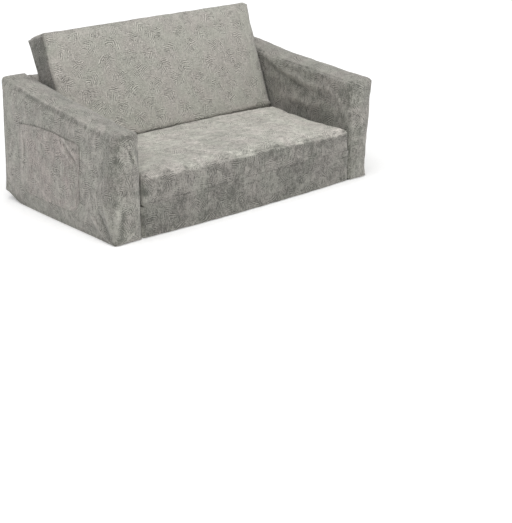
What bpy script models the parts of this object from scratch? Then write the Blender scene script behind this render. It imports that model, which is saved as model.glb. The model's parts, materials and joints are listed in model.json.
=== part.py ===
"""Kids' flip open sofa: a plush covered foam sofa whose seat and backrest flip forward into a flat lounger.

Metres, +Z up. The sofa faces -Y, stands on z = 0 and is shown closed, as a sofa.
Three foam pads stack up: the base pad lies between the arms, the seat pad lies on it and turns
over about the base pad's front top edge, and the backrest pad is sewn to the seat pad's rear edge.
"""

import math

import bmesh
import bpy
from mathutils import Matrix, Vector

# Overall sizes
SOFA_WIDTH = 0.920
SOFA_DEPTH = 0.540
ARM_WIDTH = 0.084
ARM_FRONT_HEIGHT = 0.292
ARM_REAR_HEIGHT = 0.348
BACK_THICKNESS = 0.060
BACK_HEIGHT = 0.347

# The three pads
BASE_PAD_THICKNESS = 0.086
FLIP_PAD_THICKNESS = 0.0855
BACKREST_FRONT_LENGTH = 0.315
BACKREST_LEAN = math.radians(19.0)

# Clearances
TOUCH_GAP = 0.0003
FOAM_GAP = 0.0007
PAD_SIDE_GAP = 0.0015
PAD_STACK_GAP = 0.0005
FOLD_GAP = 0.0008
LEAN_GAP = 0.0010
CREASE_GAP = 0.0020
CUT_OVERRUN = 0.010
WELD_DISTANCE = 0.000003

# Covers, with the fabric's own thickness
FABRIC = 0.0025
SOFT_RADIUS = 0.012
SEAT_NOSE_RADIUS = 0.014
CREASE_RADIUS = 0.006
FOLD_RADIUS = 0.0015
LEAST_RADIUS = 0.001
SEAM_BEAD_RADIUS = 0.0007
RADIUS_STEPS = 4
BEAD_SIDES = 10
SHARP_ANGLE = math.radians(40)

# The pads' crown, and how far their sides are drawn in at the seams
CROWN = 0.006
DRAWN_IN = 0.002
CROWN_START_SHARE = 0.3
CROWN_POWER = 2.5
DRAW_REACH_POWER = 6.0
CUTS_ACROSS = 10
CUTS_ALONG = 6
CUTS_UP = 4

# Curved lining between the back panel and the base pad
LINING = 0.0022
LINING_TOP_DROP = 0.017
LINING_FRONT_GAP = 0.0075
LINING_WAIST = 0.020
LINING_STEPS = 12
LINING_CUTS = 8
LINING_LEVELS_POWER = 2.6

# Side pocket on the outside of the left arm
POCKET_FRONT = 0.150
POCKET_LENGTH = 0.288
POCKET_BOTTOM = 0.052
POCKET_HEIGHT = 0.188
POCKET_CORNER = 0.045
POCKET_CORNER_STEPS = 6
POCKET_FABRIC = 0.0020
POCKET_ROOM = 0.0062
POCKET_RIM = 0.0035
POCKET_HEM_HEIGHT = 0.012
POCKET_HEM = 0.0010

# Zips on the rear faces
TAPE_WIDTH = 0.024
TAPE = 0.0010
TEETH_WIDTH = 0.0050
TEETH = 0.0012
ARM_ZIP_LENGTH = 0.240
ARM_ZIP_BOTTOM = 0.045
BACK_ZIP_LENGTH = 0.620
BACK_ZIP_HEIGHT = 0.042
ZIP_TAIL = 0.026
SLIDER_WIDTH = 0.0105
SLIDER_LENGTH = 0.0130
SLIDER_ROOF = 0.0010
SLIDER_EDGE = 0.0007
CHANNEL_GAP = 0.0005
BRIDGE_WIDTH = 0.0022
BRIDGE_LENGTH = 0.0064
BRIDGE_BAR = 0.0009
BRIDGE_ROOM = 0.0018
PULL_WIDTH = 0.0068
PULL_LENGTH = 0.0210
PULL = 0.0009
PULL_BAR = 0.0014
PULL_HOLE_GAP = 0.0006
PULL_EDGE = 0.0002

# Sizes that follow from the ones above
INNER_HALF = SOFA_WIDTH / 2 - ARM_WIDTH
PAD_HALF = INNER_HALF - PAD_SIDE_GAP
BACK_FRONT = SOFA_DEPTH - BACK_THICKNESS
PAD_FRONT = FOLD_GAP + SEAM_BEAD_RADIUS + TOUCH_GAP
FLIP_AXIS_Y = PAD_FRONT - FOLD_GAP
FLIP_AXIS_Z = BASE_PAD_THICKNESS + PAD_STACK_GAP / 2
PAD_BOTTOM = PAD_STACK_GAP / 2
BACKREST_TURN = math.pi / 2 - BACKREST_LEAN
CHAMFER = FLIP_PAD_THICKNESS * math.tan(BACKREST_TURN / 2)
BACKREST_REAR_LENGTH = BACKREST_FRONT_LENGTH + CHAMFER

# The backrest's fold lies where its rear face just leans on the back panel's round top edge
FOLD_AXIS_Z = FLIP_AXIS_Z + PAD_BOTTOM + SEAM_BEAD_RADIUS
LEAN_RISE = BACK_HEIGHT - SOFT_RADIUS - FOLD_AXIS_Z
LEAN_REACH = LEAN_RISE * math.sin(BACKREST_LEAN) + SEAM_BEAD_RADIUS + SOFT_RADIUS + LEAN_GAP
FOLD_AXIS_Y = BACK_FRONT + SOFT_RADIUS - LEAN_REACH / math.cos(BACKREST_LEAN)
SEAT_BOTTOM_DEPTH = FOLD_AXIS_Y - FOLD_GAP - FLIP_AXIS_Y
SEAT_TOP_DEPTH = SEAT_BOTTOM_DEPTH - CHAMFER
POCKET_PROUD = TOUCH_GAP + POCKET_ROOM + POCKET_FABRIC
POCKET_OUT = POCKET_PROUD + TOUCH_GAP + POCKET_HEM
TEETH_BASE = TOUCH_GAP + TAPE + TOUCH_GAP
SLIDER_TOP = TEETH_BASE + TEETH + CHANNEL_GAP + SLIDER_ROOF
PULL_AXIS_OUT = SLIDER_TOP + BRIDGE_ROOM / 2
ZIP_PROUD = SLIDER_TOP + BRIDGE_ROOM + BRIDGE_BAR

# Corner numbers of an outline, seen from the left side with the front at the left
FRONT_LOW, REAR_LOW, REAR_HIGH, FRONT_HIGH = range(4)


def clear_scene():
    for obj in list(bpy.data.objects):
        bpy.data.objects.remove(obj, do_unlink=True)


def make_collection(name):
    collection = bpy.data.collections.new(name)
    bpy.context.scene.collection.children.link(collection)
    return collection


def make_material(name, colour, roughness, metallic=0.0):
    material = bpy.data.materials.new(name)
    material.use_nodes = True
    shader = material.node_tree.nodes["Principled BSDF"]
    shader.inputs["Base Color"].default_value = (*colour, 1.0)
    shader.inputs["Roughness"].default_value = roughness
    shader.inputs["Metallic"].default_value = metallic
    return material


clear_scene()
SOFA = make_collection("flip_open_sofa")
CUTTERS = make_collection("cutters")

PLUSH = make_material("plush_cover", (0.42, 0.41, 0.375), 0.95)
POCKET_PLUSH = make_material("pocket_cloth", (0.44, 0.41, 0.385), 0.95)
FOAM = make_material("foam", (0.86, 0.83, 0.70), 1.0)
GRIP = make_material("grip_cloth", (0.10, 0.10, 0.10), 0.9)
SEAM = make_material("seam_thread", (0.33, 0.32, 0.29), 0.8)
TAPE_CLOTH = make_material("zip_tape", (0.30, 0.29, 0.27), 0.85)
ZIP_METAL = make_material("zip_metal", (0.45, 0.45, 0.44), 0.35, 1.0)


def make_empty(name, parent, location, rotation=(0.0, 0.0, 0.0)):
    empty = bpy.data.objects.new(name, None)
    SOFA.objects.link(empty)
    empty.parent = parent
    empty.location = location
    empty.rotation_euler = rotation
    return empty


def make_object(name, mesh, parent, material, location=(0.0, 0.0, 0.0), cutter=False):
    obj = bpy.data.objects.new(name, mesh)
    (CUTTERS if cutter else SOFA).objects.link(obj)
    obj.parent = parent
    obj.location = location
    if cutter:
        obj.hide_render = True
        obj.display_type = "WIRE"
    elif not mesh.materials:
        mesh.materials.append(material)
    return obj


def evaluated_copy(obj):
    """The object's mesh after its modifiers, as a mesh of its own."""
    graph = bpy.context.evaluated_depsgraph_get()
    graph.update()
    return bpy.data.meshes.new_from_object(obj.evaluated_get(graph))


def inset(outline, low, rear, high, front):
    """A four-sided outline whose sides are moved inwards, each by its own distance."""
    lines = []
    moves = (low, rear, high, front)
    for index in range(4):
        start = Vector(outline[index])
        end = Vector(outline[(index + 1) % 4])
        way = (end - start).normalized()
        inward = Vector((-way.y, way.x))
        lines.append((start + inward * moves[index], way))
    corners = []
    for index in range(4):
        point, way = lines[index - 1]
        other, other_way = lines[index]
        turn = way.x * other_way.y - way.y * other_way.x
        step = ((other - point).x * other_way.y - (other - point).y * other_way.x) / turn
        corners.append(tuple(point + way * step))
    return corners


def edge_radius(signs_a, signs_b, radii):
    """The radius of the cube edge between two corners, from the sides that it joins."""
    same = [a == b for a, b in zip(signs_a, signs_b)]
    rear = signs_a[1] > 0
    high = signs_a[2] > 0
    if not same[0]:
        return radii[(REAR_HIGH if rear else FRONT_HIGH) if high else (REAR_LOW if rear else FRONT_LOW)]
    if not same[1]:
        return radii["end_high"] if high else radii["end_low"]
    return radii["end_rear"] if rear else radii["end_front"]


def block_mesh(name, outline, low_x, high_x, radii, shrink=0.0, cuts=None, shape=None):
    """A block between two x planes, with its own radius on each edge and cuts for its crown."""
    rounded = {key: value - shrink if value - shrink > LEAST_RADIUS else 0.0 for key, value in radii.items()}
    widest = max(rounded.values())
    mesh = bpy.data.meshes.new(name)
    bm = bmesh.new()
    bmesh.ops.create_cube(bm, size=2.0)
    weights = bm.edges.layers.float.new("bevel_weight_edge")
    for edge in bm.edges:
        if widest > 0.0:
            edge[weights] = edge_radius(edge.verts[0].co, edge.verts[1].co, rounded) / widest
    for vert in bm.verts:
        rear = vert.co.y > 0
        high = vert.co.z > 0
        corner = (REAR_HIGH if rear else FRONT_HIGH) if high else (REAR_LOW if rear else FRONT_LOW)
        vert.co = (high_x if vert.co.x > 0 else low_x, *outline[corner])
    bm.to_mesh(mesh)
    bm.free()
    if widest > 0.0:
        blank = make_object(name + "_blank", mesh, None, None, cutter=True)
        bevel = blank.modifiers.new("round", "BEVEL")
        bevel.width = widest
        bevel.segments = RADIUS_STEPS
        bevel.limit_method = "WEIGHT"
        mesh = evaluated_copy(blank)
        bpy.data.objects.remove(blank, do_unlink=True)
    if cuts or shape:
        bm = bmesh.new()
        bm.from_mesh(mesh)
        for point, normal in cuts or ():
            geometry = list(bm.verts) + list(bm.edges) + list(bm.faces)
            bmesh.ops.bisect_plane(bm, geom=geometry, plane_co=point, plane_no=normal)
        for vert in bm.verts:
            if shape:
                vert.co = shape(vert.co)
        bmesh.ops.triangulate(bm, faces=bm.faces, quad_method="SHORT_EDGE")
        bm.to_mesh(mesh)
        bm.free()
    mesh.name = name
    mesh.shade_smooth()
    mesh.set_sharp_from_angle(angle=SHARP_ANGLE)
    return mesh


def padded_piece(names, outline, low_x, high_x, radii, parent, panel_material, cuts=None, shape=None):
    """A sewn cover open at its low side, the panel that closes it and the foam inside."""
    cover_name, panel_name, foam_name = names
    outer = block_mesh(cover_name, outline, low_x, high_x, radii, 0.0, cuts, shape)
    cover = make_object(cover_name, outer, parent, PLUSH)

    hollow = inset(outline, -CUT_OVERRUN, FABRIC, FABRIC, FABRIC)
    low_wall = low_x + FABRIC
    high_wall = high_x - FABRIC
    inner = block_mesh(cover_name + "_hollow", hollow, low_wall, high_wall, radii, FABRIC, cuts, shape)
    cutter = make_object(cover_name + "_hollow", inner, parent, None, cutter=True)
    cut = cover.modifiers.new("hollow", "BOOLEAN")
    cut.operation = "DIFFERENCE"
    cut.solver = "EXACT"
    cut.object = cutter

    wall = FABRIC + TOUCH_GAP
    slab = inset(outline, 0.0, wall, wall, wall)
    height = inset(outline, FABRIC, wall, wall, wall)
    slab[REAR_HIGH] = height[REAR_LOW]
    slab[FRONT_HIGH] = height[FRONT_LOW]
    upright = ("end_front", "end_rear")
    panel_radii = {key: value if key in upright else 0.0 for key, value in radii.items()}
    panel = block_mesh(panel_name, slab, low_x + wall, high_x - wall, panel_radii, FABRIC, cuts, shape)
    make_object(panel_name, panel, parent, panel_material)

    skin = FABRIC + FOAM_GAP
    core = inset(outline, skin, skin, skin, skin)
    foam = block_mesh(foam_name, core, low_x + skin, high_x - skin, radii, FABRIC, cuts, shape)
    make_object(foam_name, foam, parent, FOAM)
    return cover


def even_cuts(low, high, count, axis):
    """Cutting planes that split a span into even strips."""
    normal = Vector([1.0 if index == axis else 0.0 for index in range(3)])
    return [(normal * (low + (high - low) * step / count), normal) for step in range(1, count)]


def crowned(half, front, rear, bottom, thickness):
    """The shape of a stuffed pad: its high side is crowned and its ends are drawn in at the seams."""
    middle = (front + rear) / 2
    reach = (rear - front) / 2

    def shape(point):
        across = min(abs(point.x) / half, 1.0)
        along = min(abs(point.y - middle) / reach, 1.0)
        up = (point.z - bottom) / thickness
        rise = min(max((up - CROWN_START_SHARE) / (1.0 - CROWN_START_SHARE), 0.0), 1.0)
        fall = 1.0 - (1.0 - across**CROWN_POWER) * (1.0 - along**CROWN_POWER)
        seam = min(abs(2.0 * up - 1.0), 1.0) ** 2
        draw = DRAWN_IN * seam * across**DRAW_REACH_POWER
        side = math.copysign(draw, point.x)
        return Vector((point.x - side, point.y, point.z - CROWN * rise * fall))

    return shape


def radii_of(front_low, rear_low, rear_high, front_high, end_low, end_high, end_front, end_rear):
    return {
        FRONT_LOW: front_low,
        REAR_LOW: rear_low,
        REAR_HIGH: rear_high,
        FRONT_HIGH: front_high,
        "end_low": end_low,
        "end_high": end_high,
        "end_front": end_front,
        "end_rear": end_rear,
    }


def plate_mesh(name, points, thickness):
    """A flat outline with thickness, centred on its own plane."""
    curve = bpy.data.curves.new(name, "CURVE")
    curve.dimensions = "2D"
    curve.fill_mode = "BOTH"
    curve.extrude = thickness / 2
    spline = curve.splines.new("POLY")
    spline.points.add(len(points) - 1)
    for point, place in zip(spline.points, points):
        point.co = (*place, 0.0, 1.0)
    spline.use_cyclic_u = True
    guide = bpy.data.objects.new(name + "_outline", curve)
    CUTTERS.objects.link(guide)
    mesh = evaluated_copy(guide)
    bpy.data.objects.remove(guide, do_unlink=True)
    bm = bmesh.new()
    bm.from_mesh(mesh)
    bmesh.ops.remove_doubles(bm, verts=bm.verts, dist=WELD_DISTANCE)
    bmesh.ops.recalc_face_normals(bm, faces=bm.faces)
    bm.to_mesh(mesh)
    bm.free()
    mesh.name = name
    return mesh


def box_mesh(name, low, high, edge=0.0):
    """A box between two corners, with a small radius on its edges if one is given."""
    mesh = bpy.data.meshes.new(name)
    bm = bmesh.new()
    bmesh.ops.create_cube(bm, size=1.0)
    size = Vector(high) - Vector(low)
    centre = (Vector(high) + Vector(low)) / 2
    bmesh.ops.transform(bm, matrix=Matrix.Translation(centre) @ Matrix.Diagonal((*size, 1.0)), verts=bm.verts)
    if edge > 0.0:
        bmesh.ops.bevel(bm, geom=list(bm.edges), offset=edge, segments=1, affect="EDGES")
    bm.to_mesh(mesh)
    bm.free()
    return mesh


def cut_with(obj, cutter, operation="DIFFERENCE"):
    change = obj.modifiers.new(cutter.name, "BOOLEAN")
    change.operation = operation
    change.solver = "EXACT"
    change.object = cutter


def bead(name, half, parent):
    """The sewn fold between two pads: a thin cord of fabric along its own x axis."""
    mesh = bpy.data.meshes.new(name)
    bm = bmesh.new()
    along = Matrix.Rotation(math.pi / 2, 4, "Y")
    size = SEAM_BEAD_RADIUS
    bmesh.ops.create_cone(
        bm, cap_ends=True, segments=BEAD_SIDES, radius1=size, radius2=size, depth=2 * half, matrix=along
    )
    bm.to_mesh(mesh)
    bm.free()
    mesh.shade_smooth()
    mesh.set_sharp_from_angle(angle=SHARP_ANGLE)
    return make_object(name, mesh, parent, SEAM)


# The whole sofa hangs on one empty, set so that the box of the sofa is centred on the origin
base = make_empty("base", None, (POCKET_OUT / 2, -(SOFA_DEPTH + ZIP_PROUD) / 2, 0.0))

# Arms: slabs that stand on the floor, higher at the rear
arm_outline = [
    (0.0, 0.0),
    (SOFA_DEPTH, 0.0),
    (SOFA_DEPTH, ARM_REAR_HEIGHT),
    (0.0, ARM_FRONT_HEIGHT),
]
soft = SOFT_RADIUS
arm_radii = radii_of(0.0, 0.0, soft, soft, 0.0, soft, soft, soft)
for side, low_x in (("left", -SOFA_WIDTH / 2), ("right", INNER_HALF)):
    arm_names = (f"{side}_arm_cover", f"{side}_arm_underside", f"{side}_arm_foam")
    padded_piece(arm_names, arm_outline, low_x, low_x + ARM_WIDTH, arm_radii, base, GRIP)

# Back panel: a thinner slab between the arms, flush with their rear faces
back_outline = [
    (BACK_FRONT, 0.0),
    (SOFA_DEPTH, 0.0),
    (SOFA_DEPTH, BACK_HEIGHT),
    (BACK_FRONT, BACK_HEIGHT),
]
fold = FOLD_RADIUS
back_half = INNER_HALF - TOUCH_GAP
back_radii = radii_of(0.0, 0.0, soft, soft, 0.0, fold, fold, fold)
back_names = ("back_panel_cover", "back_panel_underside", "back_panel_foam")
padded_piece(back_names, back_outline, -back_half, back_half, back_radii, base, GRIP)

# Base pad: fills the floor between the arms, in front of the back panel
base_outline = [
    (PAD_FRONT, 0.0),
    (BACK_FRONT - TOUCH_GAP, 0.0),
    (BACK_FRONT - TOUCH_GAP, BASE_PAD_THICKNESS),
    (PAD_FRONT, BASE_PAD_THICKNESS),
]
base_radii = radii_of(0.0, 0.0, fold, fold, 0.0, fold, fold, fold)
base_names = ("base_pad_cover", "base_pad_underside", "base_pad_foam")
padded_piece(base_names, base_outline, -back_half, back_half, base_radii, base, GRIP)


def lining_point(share):
    """A place on the lining's front face, from its top edge down and round to its front edge."""
    top_y = BACK_FRONT - TOUCH_GAP - LINING
    top_z = BACK_HEIGHT - LINING_TOP_DROP
    low_z = BASE_PAD_THICKNESS + TOUCH_GAP + LINING
    fall = top_z - low_z
    turn = share * math.pi / 2
    round_power = 2.0 / LINING_LEVELS_POWER
    reach = top_y - FOLD_AXIS_Y - LINING_FRONT_GAP
    forward = (reach - LINING_WAIST) * (1.0 - math.cos(turn) ** round_power)
    drop = fall * math.sin(turn) ** round_power
    lean = LINING_WAIST * drop / fall
    return top_y - lean - forward, top_z - drop


# Lining: one cloth that runs from the back panel's top edge round to the base pad's top
lining_mesh = bpy.data.meshes.new("back_lining")
bm = bmesh.new()
bmesh.ops.create_grid(bm, x_segments=LINING_CUTS, y_segments=LINING_STEPS, size=1.0)
for vert in bm.verts:
    share = (vert.co.y + 1.0) / 2
    vert.co = (vert.co.x * back_half, *lining_point(share))
bm.to_mesh(lining_mesh)
bm.free()
lining_mesh.shade_smooth()
lining = make_object("back_lining", lining_mesh, base, PLUSH)
thicken = lining.modifiers.new("cloth", "SOLIDIFY")
thicken.thickness = LINING
thicken.offset = 1.0
thicken.use_even_offset = True

# Seat pad: lies on the base pad and turns over about the fold at their front
seat_axis = make_empty("seat_axis", base, (0.0, FLIP_AXIS_Y, FLIP_AXIS_Z))
pad_top = PAD_BOTTOM + FLIP_PAD_THICKNESS
seat_outline = [
    (FOLD_GAP, PAD_BOTTOM),
    (SEAT_BOTTOM_DEPTH, PAD_BOTTOM),
    (SEAT_TOP_DEPTH, pad_top),
    (FOLD_GAP, pad_top),
]
nose = SEAT_NOSE_RADIUS
crease = CREASE_RADIUS
seat_radii = radii_of(fold, 0.0, crease, nose, fold, soft, crease, crease)
seat_shape = crowned(PAD_HALF, FOLD_GAP, SEAT_TOP_DEPTH, PAD_BOTTOM, FLIP_PAD_THICKNESS)
seat_cuts = even_cuts(-PAD_HALF, PAD_HALF, CUTS_ACROSS, 0)
seat_cuts += even_cuts(FOLD_GAP, SEAT_TOP_DEPTH, CUTS_ALONG, 1)
seat_cuts += even_cuts(PAD_BOTTOM, pad_top, CUTS_UP, 2)
seat_names = ("seat_pad_cover", "seat_pad_sleeping_side", "seat_pad_foam")
padded_piece(
    seat_names,
    seat_outline,
    -PAD_HALF,
    PAD_HALF,
    seat_radii,
    seat_axis,
    PLUSH,
    seat_cuts,
    seat_shape,
)
bead("seat_fold_seam", PAD_HALF, seat_axis)

# Backrest pad: sewn to the seat pad's rear bottom edge, standing up and leaning on the back panel
fold_place = (0.0, SEAT_BOTTOM_DEPTH + FOLD_GAP, PAD_BOTTOM + SEAM_BEAD_RADIUS)
backrest_axis = make_empty("backrest_axis", seat_axis, fold_place, (BACKREST_TURN, 0.0, 0.0))
backrest_low = -SEAM_BEAD_RADIUS
backrest_high = backrest_low + FLIP_PAD_THICKNESS
backrest_outline = [
    (FOLD_GAP, backrest_low),
    (BACKREST_REAR_LENGTH, backrest_low),
    (BACKREST_REAR_LENGTH, backrest_high),
    (CHAMFER + CREASE_GAP, backrest_high),
]
backrest_radii = radii_of(0.0, fold, nose, crease, fold, soft, crease, soft)
backrest_shape = crowned(PAD_HALF, CHAMFER, BACKREST_REAR_LENGTH, backrest_low, FLIP_PAD_THICKNESS)
backrest_cuts = even_cuts(-PAD_HALF, PAD_HALF, CUTS_ACROSS, 0)
backrest_cuts += even_cuts(CHAMFER, BACKREST_REAR_LENGTH, CUTS_ALONG, 1)
backrest_cuts += even_cuts(backrest_low, backrest_high, CUTS_UP, 2)
backrest_names = ("backrest_pad_cover", "backrest_pad_sleeping_side", "backrest_pad_foam")
padded_piece(
    backrest_names,
    backrest_outline,
    -PAD_HALF,
    PAD_HALF,
    backrest_radii,
    backrest_axis,
    PLUSH,
    backrest_cuts,
    backrest_shape,
)
bead("backrest_fold_seam", PAD_HALF, backrest_axis)


def pocket_outline(inward, top):
    """The pocket's outline, with round lower corners, moved inwards by a rim."""
    front = inward
    rear = POCKET_LENGTH - inward
    bottom = inward
    corner = POCKET_CORNER - inward
    points = [(front, top), (front, bottom + corner)]
    for step in range(1, POCKET_CORNER_STEPS):
        turn = math.pi / 2 * step / POCKET_CORNER_STEPS
        points.append((front + corner * (1 - math.cos(turn)), bottom + corner * (1 - math.sin(turn))))
    points.append((front + corner, bottom))
    points.append((rear - corner, bottom))
    for step in range(1, POCKET_CORNER_STEPS):
        turn = math.pi / 2 * step / POCKET_CORNER_STEPS
        points.append((rear - corner * (1 - math.sin(turn)), bottom + corner * (1 - math.cos(turn))))
    points.append((rear, bottom + corner))
    points.append((rear, top))
    return points


# Patch pocket, open at its top, on the outside of the left arm
pocket_frame = make_empty("pocket_frame", base, (-SOFA_WIDTH / 2 - TOUCH_GAP, POCKET_FRONT, POCKET_BOTTOM))
pocket_frame.rotation_euler = Matrix(((0, 0, -1), (-1, 0, 0), (0, 1, 0))).to_euler()
pocket_depth = POCKET_ROOM + POCKET_FABRIC
flipped = [(-x, y) for x, y in pocket_outline(0.0, POCKET_HEIGHT)]
pocket_mesh = plate_mesh("side_pocket", flipped, pocket_depth)
pocket = make_object("side_pocket", pocket_mesh, pocket_frame, POCKET_PLUSH, (0.0, 0.0, pocket_depth / 2))
room_points = [(-x, y) for x, y in pocket_outline(POCKET_RIM, POCKET_HEIGHT + CUT_OVERRUN)]
room_mesh = plate_mesh("pocket_room", room_points, POCKET_ROOM + CUT_OVERRUN)
room_place = (0.0, 0.0, (POCKET_ROOM - CUT_OVERRUN) / 2)
cut_with(pocket, make_object("pocket_room", room_mesh, pocket_frame, None, room_place, cutter=True))
hem_low = (-POCKET_LENGTH, POCKET_HEIGHT - POCKET_HEM_HEIGHT, pocket_depth + TOUCH_GAP)
hem_high = (0.0, POCKET_HEIGHT, pocket_depth + TOUCH_GAP + POCKET_HEM)
make_object("pocket_hem", box_mesh("pocket_hem", hem_low, hem_high), pocket_frame, POCKET_PLUSH)


def slider_mesh(name):
    """The slider's body before its channel is cut and its bridge is added."""
    low = (-SLIDER_WIDTH / 2, TEETH_BASE, -SLIDER_LENGTH / 2)
    high = (SLIDER_WIDTH / 2, SLIDER_TOP, SLIDER_LENGTH / 2)
    return box_mesh(name, low, high, SLIDER_EDGE)


def make_zip(name, parent, location, rotation, length):
    """A zip along its own z axis, facing its own +y, with its slider at the low end."""
    frame = make_empty(f"{name}_frame", parent, location, rotation)
    tape_low = (-TAPE_WIDTH / 2, TOUCH_GAP, -ZIP_TAIL)
    tape_high = (TAPE_WIDTH / 2, TOUCH_GAP + TAPE, length)
    make_object(f"{name}_tape", box_mesh(f"{name}_tape", tape_low, tape_high), frame, TAPE_CLOTH)
    teeth_low = (-TEETH_WIDTH / 2, TEETH_BASE, -SLIDER_LENGTH)
    teeth_high = (TEETH_WIDTH / 2, TEETH_BASE + TEETH, length - SLIDER_LENGTH / 2)
    make_object(f"{name}_teeth", box_mesh(f"{name}_teeth", teeth_low, teeth_high), frame, TAPE_CLOTH)

    slider = make_object(f"{name}_slider", slider_mesh(f"{name}_slider"), frame, ZIP_METAL)
    channel_half = TEETH_WIDTH / 2 + CHANNEL_GAP
    channel_low = (-channel_half, TEETH_BASE - CUT_OVERRUN, -SLIDER_LENGTH)
    channel_high = (channel_half, TEETH_BASE + TEETH + CHANNEL_GAP, SLIDER_LENGTH)
    channel = box_mesh(f"{name}_channel", channel_low, channel_high)
    cut_with(slider, make_object(f"{name}_channel", channel, frame, None, cutter=True))
    bridge_low = (-BRIDGE_WIDTH / 2, SLIDER_TOP - SLIDER_ROOF / 2, -BRIDGE_LENGTH / 2)
    bridge_high = (BRIDGE_WIDTH / 2, SLIDER_TOP + BRIDGE_ROOM + BRIDGE_BAR, BRIDGE_LENGTH / 2)
    bridge = box_mesh(f"{name}_bridge", bridge_low, bridge_high)
    cut_with(slider, make_object(f"{name}_bridge", bridge, frame, None, cutter=True), "UNION")
    room_half = BRIDGE_LENGTH / 2 - BRIDGE_BAR
    room_low = (-BRIDGE_WIDTH, SLIDER_TOP, -room_half)
    room_high = (BRIDGE_WIDTH, SLIDER_TOP + BRIDGE_ROOM, room_half)
    room = box_mesh(f"{name}_bridge_room", room_low, room_high)
    cut_with(slider, make_object(f"{name}_bridge_room", room, frame, None, cutter=True))

    pull_low = (-PULL_WIDTH / 2, -PULL / 2, -PULL_LENGTH)
    pull_high = (PULL_WIDTH / 2, PULL / 2, PULL_BAR / 2)
    pull_mesh = box_mesh(f"{name}_pull", pull_low, pull_high, PULL_EDGE)
    pull = make_object(f"{name}_pull", pull_mesh, frame, ZIP_METAL, (0.0, PULL_AXIS_OUT, 0.0))
    hole_half = BRIDGE_WIDTH / 2 + PULL_HOLE_GAP
    bridge_reach = math.hypot(BRIDGE_LENGTH / 2, BRIDGE_ROOM / 2 + BRIDGE_BAR)
    hole_low = (-hole_half, -PULL, -bridge_reach - PULL_HOLE_GAP)
    hole_high = (hole_half, PULL, -PULL_BAR / 2)
    hole = box_mesh(f"{name}_pull_hole", hole_low, hole_high)
    hole_place = (0.0, PULL_AXIS_OUT, 0.0)
    cut_with(pull, make_object(f"{name}_pull_hole", hole, frame, None, hole_place, cutter=True))


# Zips on the rear ends of the arms and along the foot of the back panel
arm_middle = SOFA_WIDTH / 2 - ARM_WIDTH / 2
upright = (0.0, 0.0, 0.0)
lying = (0.0, math.pi / 2, 0.0)
make_zip("left_arm_zip", base, (-arm_middle, SOFA_DEPTH, ARM_ZIP_BOTTOM), upright, ARM_ZIP_LENGTH)
make_zip("right_arm_zip", base, (arm_middle, SOFA_DEPTH, ARM_ZIP_BOTTOM), upright, ARM_ZIP_LENGTH)
make_zip("back_zip", base, (-BACK_ZIP_LENGTH / 2, SOFA_DEPTH, BACK_ZIP_HEIGHT), lying, BACK_ZIP_LENGTH)
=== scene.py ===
"""Looks of the kids' flip open sofa: soft plush pads, their folds, the pocket, the lining and the zips.

Metres, +Z up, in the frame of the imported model. The sofa faces -Y.
"""

import json
import math

import bpy
import numpy as np
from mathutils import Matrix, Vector, noise
from mathutils.bvhtree import BVHTree


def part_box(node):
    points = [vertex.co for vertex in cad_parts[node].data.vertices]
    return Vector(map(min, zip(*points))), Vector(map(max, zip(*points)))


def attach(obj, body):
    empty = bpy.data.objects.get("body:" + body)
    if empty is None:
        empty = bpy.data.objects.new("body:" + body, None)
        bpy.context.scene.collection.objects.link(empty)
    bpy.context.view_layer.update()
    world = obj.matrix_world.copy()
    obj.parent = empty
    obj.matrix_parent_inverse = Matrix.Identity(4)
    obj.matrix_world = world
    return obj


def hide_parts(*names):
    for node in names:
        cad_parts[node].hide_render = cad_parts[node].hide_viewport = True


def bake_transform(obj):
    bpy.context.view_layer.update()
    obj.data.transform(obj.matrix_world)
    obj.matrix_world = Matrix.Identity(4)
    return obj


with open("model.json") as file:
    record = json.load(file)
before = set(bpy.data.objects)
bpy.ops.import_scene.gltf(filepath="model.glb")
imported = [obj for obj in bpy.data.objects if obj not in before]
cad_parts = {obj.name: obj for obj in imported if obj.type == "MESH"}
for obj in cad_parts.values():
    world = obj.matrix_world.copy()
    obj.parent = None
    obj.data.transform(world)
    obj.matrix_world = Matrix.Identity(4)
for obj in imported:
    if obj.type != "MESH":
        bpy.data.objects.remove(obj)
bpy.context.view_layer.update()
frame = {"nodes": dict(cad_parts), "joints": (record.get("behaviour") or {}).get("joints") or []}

# The photograph's frame and camera
PHOTO_HEIGHT = 523
SENSOR = 36.0
FOCAL_PIXELS = 1252.0
CAMERA_PLACE = (-2.1658, -2.7899, 1.1702)
CAMERA_YAW = math.radians(40.96)
CAMERA_PITCH = math.radians(21.83)

# Floor and light
WHITE = (1.0, 1.0, 1.0, 1.0)
FLOOR_HALF = 40.0
SKY_STRENGTH = 0.53
KEY_STRENGTH = 1.78
KEY_SPREAD = math.radians(75)
KEY_FROM = (-0.9, -0.7, 2.6)

# Grids, and the least lift of a cover's bottom over the floor
CELL = 0.0055
ARM_CELL = 0.0042
STRIP_CELL = 0.008
POCKET_CELL = 0.003
LINING_CELLS = (0.007, 0.006)
UNDERSIDE_CELL = 0.012
TAPE_CELL = 0.004
FLOOR_LIFT = 0.0009

# Radii of the pads' soft edges
SOFT_EDGE = 0.014
NOSE_EDGE = 0.025
BACKREST_TOP_EDGE = 0.017
BACKREST_FAR_EDGE = 0.022
CREASE_EDGE = 0.004
UPRIGHT_EDGE = 0.011
ARM_REAR_EDGE = 0.008
ARM_FRONT_EDGE = 0.014
ARM_TOP_EDGE = 0.012
RIGHT_ARM_ENDS = (0.009, 0.019)
FLOOR_EDGE = 0.004
FOLD_EDGE = 0.0016
SLEEPING_EDGE = 0.008
EDGE_BLEND = 0.002

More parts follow.
